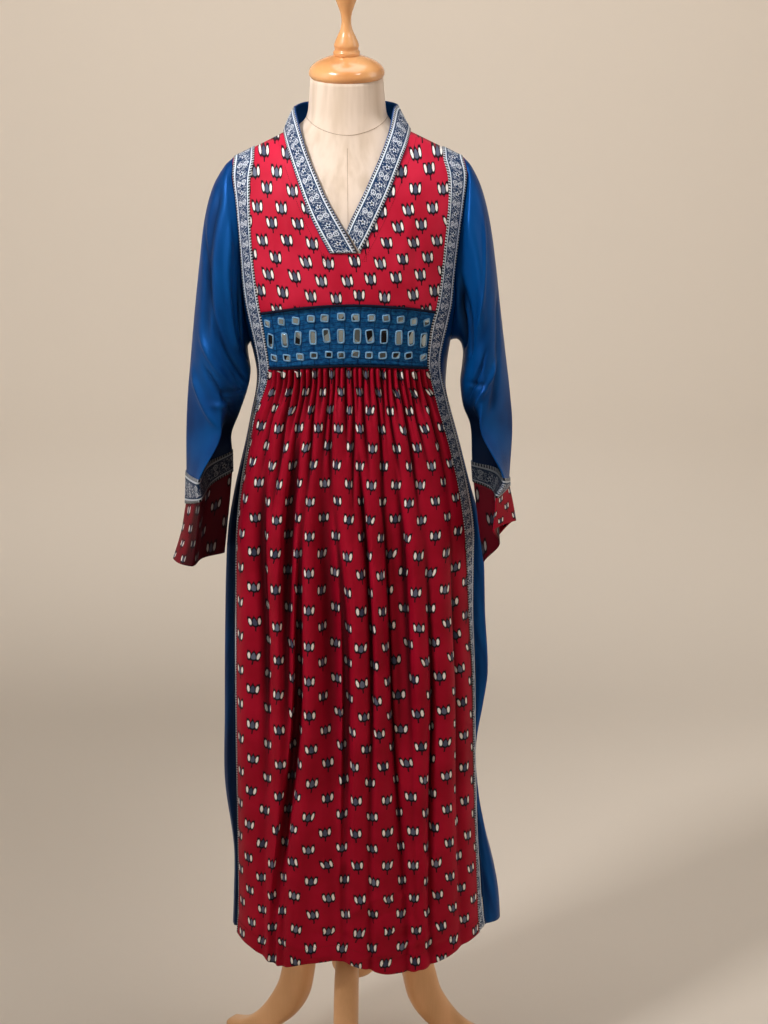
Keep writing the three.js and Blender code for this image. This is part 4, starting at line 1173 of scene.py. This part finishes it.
CREASES_R = Table("a0 r0 a1 r1 width depth", [
    [0.32, 0.6, 0.42, 3.6, 10, -6.0], [0.18, 0.8, 0.26, 4.6, 14, 4.0],
    [0.24, 5.4, 0.40, 6.6, 6, -3.5], [0.14, 5.9, 0.34, 7.0, 7, 3.5],
    [0.20, 6.4, 0.40, 5.9, 4.5, -2.8], [0.30, 0.9, 0.36, 4.8, 6, -4.0],
    [0.12, 2.4, 0.30, 4.4, 8, 2.6],
    [0.08, 4.6, 0.18, 7.2, 10, -3.0], [0.62, 1.2, 0.60, 4.6, 11, -5.0],
    [0.76, 2.0, 0.80, 6.6, 13, 4.5], [0.70, 5.4, 0.60, 8.0, 10, -4.5],
])


def crease_relief(creases, around, row):
    """Sum of creases: each a bell across the straight line between its two ends."""
    out = np.zeros_like(row)
    for a0, r0, a1, r1, width, deep in zip(*creases.columns.values()):
        ax, ry = (a1 - a0) * GIRTH, (r1 - r0) * ROW_STEP
        length = np.hypot(ax, ry)
        px, py = ((around - a0 + 0.5) % 1 - 0.5) * GIRTH, (row - r0) * ROW_STEP
        along = (px * ax + py * ry) / length
        off = (px * ry - py * ax) / length
        ends = smooth(along, -20, 25) * smooth(-along, -length - 20, -length + 25)
        out += deep * np.exp(-((off / width) ** 2)) * ends
    return out


def fold_hollow(around, row, ridge_at, start):
    """Cloth falling in between a sleeve's front ridge and its inner edge, deepest midway, growing
    down the sleeve from a row."""
    share = np.clip((around * 2 - ridge_at) / (1 - ridge_at), 0, 1)
    return -17.0 * np.sin(np.pi * share) ** 1.5 * smooth(row, start, start + 2.2) * (around < 0.5)


def hollow_shade(around, start):
    """Shade on the hollow inner side of a sleeve: it grows from just past the front ridge, is full
    to the inner edge and gone behind it."""
    return smooth(around, start, start + 0.07) * (1 - smooth(around, 0.49, 0.55))


def places_round(rows):
    """Place round the sleeve of each point of so many rings."""
    return np.broadcast_to(np.arange(AROUND) / AROUND, (rows, AROUND))


def sleeve_pieces(sign, name, table, cuff_table, creases):
    """A sleeve from its armhole through the table's rings, the lace band round its last row, and
    the cuff that flares out below it."""
    flip = sign < 0
    stations = np.concatenate([armhole(sign)[None], sleeve_rings(sign, table)])
    last = len(stations) - 1
    at = np.linspace(0, last, 121)
    rings = hermite(np.arange(last + 1.0), stations, at)
    rings = np.concatenate([rings[:1], blurred(rings[1:], 3)])
    around, row = np.meshgrid(np.arange(AROUND) / AROUND, at)
    fade = smooth(row, 0, 0.9) * (1.35 - 1.35 * smooth(row, 7.6, 8.6))
    relief = crease_relief(creases, around, row) * fade
    normal = grid_normals(rings, True, flip)
    rings = rings + normal * fold_hollow(around, row, 0.5, HOLLOW_START)[..., None]
    outer = rings + normal * relief[..., None]
    sleeve = sheet_shell(
        f"sleeve_{name}_satin", outer, SLEEVE_CLOTH, SATIN, cut_tube(outer), True, flip)
    hollow = hollow_shade(around, 0.26) * smooth(row, 5.4, 7.4)
    mark_shade(sleeve, np.maximum(hollow, -relief / 9))
    stand_for(sleeve, f"sleeve_{name}")

    band = rings[at >= last - 1]
    outer = band + grid_normals(band, True, flip) * (LIFT + LACE)
    s = run(np.concatenate([band[-1], band[-1, :1]]))
    uv = cut_grid(np.linspace(-LACE_HALF, LACE_HALF, len(band))[:, None], s[None])
    trim = sheet_shell(f"sleeve_trim_{name}_lace", outer, LACE, TRIM_LACE, uv, True, flip)
    mark_shade(trim, 0.3 + 0.7 * hollow_shade(places_round(len(band)), 0.22))
    stand_for(trim, f"sleeve_trim_{name}")

    low = blurred(sleeve_rings(sign, cuff_table), 3)
    hollow = fold_hollow(places_round(len(low)), CUFF_ROW + 0 * low[..., 0], 0.5, HOLLOW_START)
    low = low + grid_normals(low, True, flip) * hollow[..., None]
    stations = np.concatenate([rings[-1:] - [0, 0, SEAM], low])
    rings = hermite(np.arange(3.0), stations, np.linspace(0, 2, 37))
    cuff = sheet_shell(
        f"cuff_{name}_cloth", rings, SLEEVE_CLOTH, CUFF_PRINTS[name], cut_tube(rings), True, flip)
    mark_shade(cuff, hollow_shade(places_round(len(rings)), 0.13 if flip else 0.25) * 1.1)
    stand_for(cuff, f"cuff_{name}")
    return sleeve, trim, cuff


def cut_tube(rings):
    """Cut coordinates of a closed tube, its last column repeated: even round it, true along it."""
    round_it = np.linalg.norm(np.roll(rings, -1, 1) - rings, axis=-1).sum(1).mean()
    down = np.linalg.norm(np.diff(rings, axis=0), axis=-1).mean(1)
    u = np.linspace(-0.5, 0.5, rings.shape[1] + 1) * round_it
    return cut_grid(u[None], -np.pad(np.cumsum(down), (1, 0))[:, None])


sleeve_l = sleeve_pieces(-1, "left", SLEEVE_L, CUFF_L, CREASES_L)
sleeve_r = sleeve_pieces(1, "right", SLEEVE_R, CUFF_R, CREASES_R)


# ------------------------------------------------------------------ neckband
def band_out(edge, free):
    """Away from the neck: out of the chest low down, sideways higher up."""
    middle = (edge + free) / 2
    away = unit(middle * [1, 1, 0])
    share = smooth((middle[:, 2] - 1440) / 90)[:, None]
    ones = np.ones(len(middle))
    chest = unit(np.stack([middle[:, 0] / 400, -ones, 0.35 * ones], -1))
    wide = unit(free - edge)
    out = unit(mix(chest, away, share))
    return unit(out - wide * (out * wide).sum(-1, keepdims=True))


def neck_stations():
    """Sewn edge, free edge and way out of the band, from the V up, round the nape and down."""
    parts = []
    for hand in "LR":
        edge = worn(NECK["x" + hand], NECK["z"])
        fx, fz = NECK["freeX" + hand], NECK["freeZ" + hand]
        fy = np.where(NECK["y"] != 0, NECK["y"], depth(fx, fz, -1))
        free = np.stack([fx, fy, fz], -1)
        edge = edge + unit(free - edge) * (SEAM + 0.1)
        parts.append((edge, free, band_out(edge, free)))
    for sign in (-1, 1):
        edge = worn(NAPE["x"], NAPE["z"], 1) * [sign, 1, 1] + [0, 0, SEAM + 0.1]
        free = np.stack([sign * NAPE["freeX"], NAPE["freeY"], NAPE["freeZ"]], -1)
        parts.append((edge, free, band_out(edge, free)))
    left, right, back_l, back_r = parts
    joined = [np.concatenate([left[i], back_l[i], back_r[i][:-1][::-1], right[i][::-1]])
              for i in range(3)]
    n = len(joined[0])
    at = np.linspace(0, n - 1, 10 * (n - 1) + 1)
    edge, free, out = (hermite(np.arange(float(n)), j[:, None], at)[:, 0] for j in joined)
    return edge, free, unit(out)


def neck_band():
    """The neckband, a little full between its edges, and the lace that covers it."""
    edge, free, out = neck_stations()

    def grid(lift, margin, steps):
        t = np.linspace(margin, 1 - margin, steps)[:, None, None]
        return mix(edge[None], free[None], t) + out[None] * (lift + 1.2 * np.sin(np.pi * t))

    base = grid(0.0, 0.0, 9)
    s = run(base[4])[None]
    uv = cut_grid(s, np.linspace(0, 30, 9)[:, None])
    band = sheet_shell("neckband_satin", base, SLEEVE_CLOTH, SATIN, uv)
    stand_for(band, "neckband")
    uv = cut_grid(np.linspace(-LACE_HALF, LACE_HALF, 19)[:, None], s)
    trim = sheet_shell("neck_trim_lace", grid(LIFT + LACE, 0.02, 19), LACE, TRIM_LACE, uv)
    return band, stand_for(trim, "neck_trim")


neckband, neck_trim = neck_band()


# ------------------------------------------------------------------ belt trimmings
def belt_piping(place, height, lift):
    """A navy cord along one arched edge of the belt, between the two side trims."""
    u = 0.985 * np.linspace(-1, 1, 121)
    z = arched(u, height, lift)
    edge = worn(front_x(u, z), z)
    normal = outward(edge)
    rings = path_tube(edge + normal * (LIFT + CORD + 0.4), normal, CORD, 12)
    piece = tube_mesh(f"belt_piping_{place}_cord", rings, NAVY_CORD)
    stand_for(piece, f"belt_piping_{place}")


belt_piping("top", BELT_TOP, ARCH_TOP)
belt_piping("bottom", WAIST, ARCH_BOTTOM)


def surface_frames(n, right):
    """Three axes at each point: along right in the surface, up in the surface, and outwards."""
    across = unit(right - n * (right * n).sum(-1, keepdims=True))
    return np.stack([across, np.cross(n, across), n], 1)


MIRROR_COLUMNS = 12


def mirror_work():
    """Three rows of small mirrors, each in a raised thread frame: squares above and below a row of
    tall ones, turned a little each way."""
    columns = np.linspace(-0.93, 0.93, MIRROR_COLUMNS)
    places, sizes, slopes = [], [], []
    for share, half in ((0.81, (4.1, 3.9)), (0.50, (3.9, 9.6)), (0.19, (4.2, 3.6))):
        u = columns + rng.normal(0, 0.008, MIRROR_COLUMNS)
        v = share + rng.normal(0, 0.008, MIRROR_COLUMNS)
        p = belt_points(u, v)
        places.append(p)
        slopes.append(unit(np.cross(belt_points(u + 0.01, v) - p, belt_points(u, v + 0.01) - p)))
        wide = half[0] * rng.uniform(0.85, 1.08, MIRROR_COLUMNS)
        tall = half[1] * rng.uniform(0.92, 1.06, MIRROR_COLUMNS)
        sizes.append(np.column_stack([wide, tall, np.ones(MIRROR_COLUMNS)]))
    places, sizes, slopes = (np.concatenate(v) for v in (places, sizes, slopes))
    n = len(places)
    right = np.column_stack([np.ones(n), np.zeros(n), rng.normal(0, 0.05, n)])
    axes = surface_frames(slopes, right)
    tilt = rng.normal(0, 0.05, (n, 2))
    facing = unit(axes[:, 2] + axes[:, 0] * tilt[:, :1] + axes[:, 1] * tilt[:, 1:])
    tilted = np.stack([axes[:, 0], np.cross(facing, axes[:, 0]), facing], 1)
    # glass: a low bevelled slab
    square = np.array([[-1, -1], [1, -1], [1, 1], [-1, 1]], float)
    slab = np.concatenate([
        np.column_stack([square * wide, np.full(4, high)])
        for wide, high in ((1, -0.2), (1, 0.45), (0.88, 0.7))])
    a, b = np.arange(4), (np.arange(4) + 1) % 4
    side = np.stack([a, b, b + 4, a + 4], 1)
    faces = np.concatenate([[[3, 2, 1, 0], [8, 9, 10, 11]], side, side + 4])
    glass = many("belt_mirrors", slab * sizes[:, None], [faces], places + axes[:, 2] * 0.3,
                 tilted, MIRROR)
    # frame: a rounded square ring of thread, six points round its cord
    t, k = turns(16), turns(6)
    outline = np.column_stack([np.sign(v) * np.abs(v) ** 0.42 for v in (np.cos(t), np.sin(t))])
    out = outline[None, :, None, :] * (
        sizes[:, None, None, :2] + 1.0 + 1.15 * np.cos(k)[None, None, :, None])
    up = np.broadcast_to(0.55 + 0.95 * np.sin(k), out.shape[:3])
    cords = np.concatenate([out, up[..., None]], -1).reshape(n, -1, 3)
    grid = np.arange(16 * 6).reshape(16, 6)
    ahead = np.roll(grid, -1, 0)
    ring = np.stack([grid, ahead, np.roll(ahead, -1, 1), np.roll(grid, -1, 1)], -1).reshape(-1, 4)
    frames = many("mirror_frames", cords, [ring], places, axes, FRAME_THREAD)


mirror_work()


# ------------------------------------------------------------------ stitches
def between(line, at):
    """Points of a line of points at fractional places along its own numbering."""
    return np.stack([np.interp(at, np.arange(len(line)), line[:, i]) for i in range(3)], -1)


def stitch_row(name, line, length, every, half=0.35):
    """Stitches along a line: a small six-sided bead every few millimetres, lying on the cloth."""
    s, count = run(line), np.arange(len(line))
    at = np.arange(every / 2, s[-1], every)
    p, q = (between(line, np.interp(place, s, count)) for place in (at, at + 1.0))
    n = unit(between(outward(line), np.interp(at, s, count)))
    spin = turns(6)
    ring = np.column_stack([0 * spin, np.cos(spin), np.sin(spin)])
    tip, waist = np.array([[1.0, 0, 0]]), np.array([0.55, 0, 0])
    bead = np.concatenate([-tip, ring - waist, ring + waist, tip])
    a, b = np.arange(6), (np.arange(6) + 1) % 6
    ends = np.concatenate([
        np.stack([0 * a, 1 + b, 1 + a], 1), np.stack([13 + 0 * a, 7 + a, 7 + b], 1)])
    sides = np.stack([1 + a, 1 + b, 7 + b, 7 + a], 1)
    sized = np.tile(bead * [length / 2, half, half], (len(p), 1, 1))
    piece = many(name, sized, [ends, sides], p + n * half * 0.5, surface_frames(n, unit(q - p)),
                 STITCH_RED)


def stitched():
    """Rows of stitches: the hem, beside the neckline and a small box under the V."""
    u = np.linspace(-1.0, 1.0, 400)
    stitch_row("hem_stitches", skirt_points(u, np.full(400, 0.028)), 2.6, 3.4)
    for hand, sign in (("L", -1), ("R", 1)):
        z = np.linspace(1372, 1530, 120)
        x = np.interp(z, NECK["z"], NECK["x" + hand]) + sign * 11.5
        stitch_row(f"neckline_stitches_{hand.lower()}", worn(x, z), 2.4, 3.2)
    box = worn(np.array([-36.0, -30, 22, 26, 26, -36, -36]),
               np.array([1376.0, 1366, 1366, 1376, 1364, 1364, 1376]))
    stitch_row("neckline_box_stitches", between(box, np.linspace(0, 6, 120)), 2.2, 2.9)


stitched()


# ------------------------------------------------------------------ form and stand
FORM_WIDEST = 161.0  # half width of the form above the underarm


def form_ring(z, ease):
    """A horizontal ring of the form, drawn in from the cloth by the ease."""
    across = min((RIDGE_TOP - z) / RIDGE_FALL, FORM_WIDEST if z > UNDERARM else np.inf)
    a = turns(FORM_SIDES)
    c, s = np.cos(a), np.sin(a)
    zz = np.full(FORM_SIDES, z)
    wide = np.minimum(sided("W", c, zz), across)
    x = np.sign(c) * wide * np.abs(c) ** (2 / ROUND)
    y = np.where(np.abs(s) < 1e-9, 0, np.where(s < 0, depth(x, zz, -1), depth(x, zz, 1)))
    p = np.stack([x, y, zz], -1)
    on_ridge = (np.abs(s) < 1e-9) & (across < FORM_WIDEST)
    return p - outward(p) * np.where(on_ridge, 2.05, ease)[:, None]


def torso():
    """The form's rings up to the shoulders and elliptic rings up the tilting neck, blended."""
    heights = np.concatenate([np.linspace(820, 832, 5)[:-1], np.linspace(832, 1534, 66)])
    low = [form_ring(z, FORM_BODY.read("ease", z)) for z in heights]
    a = turns(FORM_SIDES)
    c, s = np.cos(a), np.sin(a)
    high = []
    for z in np.linspace(NECK_BASE, NECK_TOP, 15):
        k = (z - NECK_BASE) / (NECK_TOP - NECK_BASE)
        front, back_reach = NECK_RINGS.read("front", z), NECK_RINGS.read("back", z)
        y = np.where(s < 0, front, back_reach) * s
        high.append(np.stack([NECK_RINGS.read("rx", z) * c, y, z + y * HEAD_TILT * k], -1))
    rings = np.concatenate([low, high])
    for _ in range(6):
        inner = (rings[:-2] + 2 * rings[1:-1] + rings[2:]) / 4
        rings[-22:-1] = inner[-21:]
    stand_for(tube_mesh("form_torso_jersey", rings, FORM_CLOTH), "form_torso")
    return rings


form_rings = torso()


def profile(table, columns, steps):
    """A table's columns read at even steps along its r and z curve."""
    s = run(np.column_stack([table["r"], table["z"]]))
    at = np.linspace(0, s[-1], steps)
    return [hermite(s, table[name], at) for name in columns.split()]


def lathe(node, table, material, height=None, steps=10, sides=72):
    """A turned piece: circles of the profile's radii, the profile rounded between its points;
    height tilts it forward with the neck's top."""
    r, z = profile(table, "r z", steps * len(table["z"]))
    a = turns(sides)
    rings = np.stack([r[:, None] * np.cos(a), r[:, None] * np.sin(a), z[:, None] + 0 * a], -1)
    if height is not None:
        sine, cosine = np.sin(HEAD_TILT), np.cos(HEAD_TILT)
        tilt = np.array([[1, 0, 0], [0, cosine, sine], [0, -sine, cosine]])
        rings = rings @ tilt + tilt[2] * height + [0, 0, NECK_TOP]
    stand_for(tube_mesh(f"{node}_wood", rings, material), node)


lathe("neck_cap", CAP, CAP_WOOD, SEAM)
lathe("finial", FINIAL, CAP_WOOD, SEAM * 2 + CAP["z"][-1])
lathe("stand_hub", HUB, STAND_WOOD)
POST = Table("r z", [[15, 298.3], [15, 480], [15, 660], [15, 819.7]])
lathe("stand_post", POST, STAND_WOOD, steps=6, sides=48)


def leg_piece(name, turn):
    """A curved leg: rounded sections square to its centre line, flat under the foot."""
    r, z, wide, thick = profile(LEG, "r z wide thick", 90)
    along = unit(np.stack([np.gradient(r), 0 * r, np.gradient(z)], -1))
    along[0] = [1, 0, 0]
    along = unit(mix(along, [1.0, 0, 0], smooth(r, 205, 240)[:, None]))
    up = np.stack([-along[:, 2], 0 * r, along[:, 0]], -1)
    a = turns(24, 0.5)
    c, s = (np.sign(v) * np.abs(v) ** 0.6 for v in (np.cos(a), np.sin(a)))
    rings = (np.stack([r, 0 * r, z], -1)[:, None]
             + wide[:, None, None] * c[None, :, None] * np.array([0, 1.0, 0])
             + thick[:, None, None] * s[None, :, None] * up[:, None])
    rings[..., 2] = np.maximum(rings[..., 2], 0.0)
    t = np.radians(turn)
    spin = np.array([[np.cos(t), np.sin(t), 0], [-np.sin(t), np.cos(t), 0], [0, 0, 1]])
    stand_for(tube_mesh(f"{name}_wood", rings @ spin, STAND_WOOD), name)


for leg_name, leg_turn in LEG_TURN.items():
    leg_piece(leg_name, leg_turn)


def on_form(x, y, z):
    """Points of the form's skin at given heights in the directions of x, y from the axis: the
    rings' nearest column, read straight between the rings below and above."""
    angle = np.arctan2(y, x)
    gap = np.arctan2(form_rings[..., 1], form_rings[..., 0]) - angle[:, None, None]
    column = np.argmin(np.abs((gap + np.pi) % (2 * np.pi) - np.pi), axis=2)
    near = form_rings[np.arange(len(form_rings)), column]
    heights, reach = near[..., 2], np.hypot(near[..., 0], near[..., 1])
    low = np.clip((heights <= z[:, None]).sum(1) - 1, 0, len(form_rings) - 2)
    n = np.arange(len(z))
    t = (z - heights[n, low]) / (heights[n, low + 1] - heights[n, low])
    r = mix(reach[n, low], reach[n, low + 1], np.clip(t, 0, 1))
    return np.stack([r * np.cos(angle), r * np.sin(angle), z], -1)


def form_seams():
    """Fine seams in the form's jersey: round the neck's base, lowest at the front, and down the
    centre front."""
    a = np.radians(np.linspace(180, 360, 121))
    base = on_form(66 * np.cos(a), 65 * np.sin(a), NECK_BASE + 14 - 22 * np.sin(-a) ** 2)
    z = np.linspace(1520, 1300, 60)
    front = on_form(0 * z, 0 * z - 1, z)
    for name, line, normal, radius in (
            ("neck_base_seam", base, unit(base * [1, 1, 0]), 0.45),
            ("centre_front_seam", front, np.tile([0, -1.0, 0.2], (60, 1)), 0.35)):
        tube_mesh(name, path_tube(line, normal, radius, 6), SEAM_THREAD)


form_seams()


# ------------------------------------------------------------------ room and light
FLOOR_FLAT, FLOOR_BEND, WALL_TOP, FLOOR_SIDES = 4700, 3300, 5400, 96  # mm


def room():
    """A pale round floor that curves up into a wall all the way round: circles of the profile's
    radii about the post, the profile flat, then a quarter circle, then a straight rise."""
    f = Finish("pale studio floor")
    f.set(Base_Color=paint(231, 218, 202), Roughness=0.9)
    flat = np.column_stack([np.append([2.0], np.linspace(200, FLOOR_FLAT, 24)), np.zeros(25)])
    a = np.linspace(0, np.pi / 2, 40)[1:]
    bend = np.column_stack([FLOOR_FLAT + FLOOR_BEND * np.sin(a), FLOOR_BEND * (1 - np.cos(a))])
    rise_to = np.linspace(FLOOR_BEND, WALL_TOP, 6)[1:]
    wall = np.column_stack([np.full(5, FLOOR_FLAT + FLOOR_BEND), rise_to])
    sweep = np.concatenate([flat, bend, wall])
    radius, height = sweep[:, :1], sweep[:, 1:]
    a = turns(FLOOR_SIDES)
    grid = np.stack([radius * np.cos(a), radius * np.sin(a), height + 0 * a], -1)
    r, c = grid_faces(*grid.shape[:2], closed=True)
    faces = (r * FLOOR_SIDES + c % FLOOR_SIDES).tolist() + [list(range(FLOOR_SIDES))]
    put_mesh("studio_floor", grid, faces, f.material, body=None)


def softbox(name, place, aim, width, height, power, spread=180):
    """A rectangular lamp aimed at a point; a grid narrows its beam to the spread in degrees."""
    data = bpy.data.lights.new(name, "AREA")
    data.shape, data.size, data.size_y = "RECTANGLE", width, height
    data.energy, data.spread = power, np.radians(spread)
    lamp = bpy.data.objects.new(name, data)
    start, end = Vector(place), Vector(aim)
    turn = (end - start).to_track_quat("-Z", "Y").to_matrix().to_4x4()
    lamp.matrix_world = Matrix.Translation(start) @ turn
    lamp.visible_camera = False
    bpy.context.collection.objects.link(lamp)


room()
# place and aim in metres, width and height of the face, watts, spread of the beam in degrees
for name, *lamp in (
        ("key_left", (-1.7, -1.5, 3.6), (0.03, 0, 1.58), 0.5, 0.5, 4.2, 38),
        ("key_right", (1.5, -1.8, 3.6), (-0.05, 0, 1.60), 0.5, 0.5, 0.4, 34),
        ("softbox_left", (-2.4, -0.9, 2.1), (0, 0, 1.15), 1.3, 1.8, 8),
        ("softbox_right", (2.4, -0.1, 2.2), (0, 0, 1.1), 1.0, 1.6, 7),
        ("overhead", (0.3, 0.5, 5.2), (0.3, 0.5, 0), 3.0, 3.0, 34, 110)):
    softbox(name, *lamp)
# four lamps over the kurti that wash the wall on every side
for name, x, y, power in (("back", 0, 1, 134), ("right", 1, 0, 134),
                          ("front", 0, -1, 94), ("left", -1, 0, 134)):
    softbox(f"wash_{name}", (x * 0.9, y * 0.9, 4.6), (x * 7.6, y * 7.6, 2.0), 3.0, 0.5, power, 118)
world = bpy.data.worlds.new("studio")
bpy.context.scene.world = world
world.use_nodes = True
sky = world.node_tree.nodes["Background"].inputs
sky["Color"].default_value, sky["Strength"].default_value = (1.0, 0.97, 0.93, 1.0), 0.04
bpy.context.scene.view_settings.view_transform = "Standard"
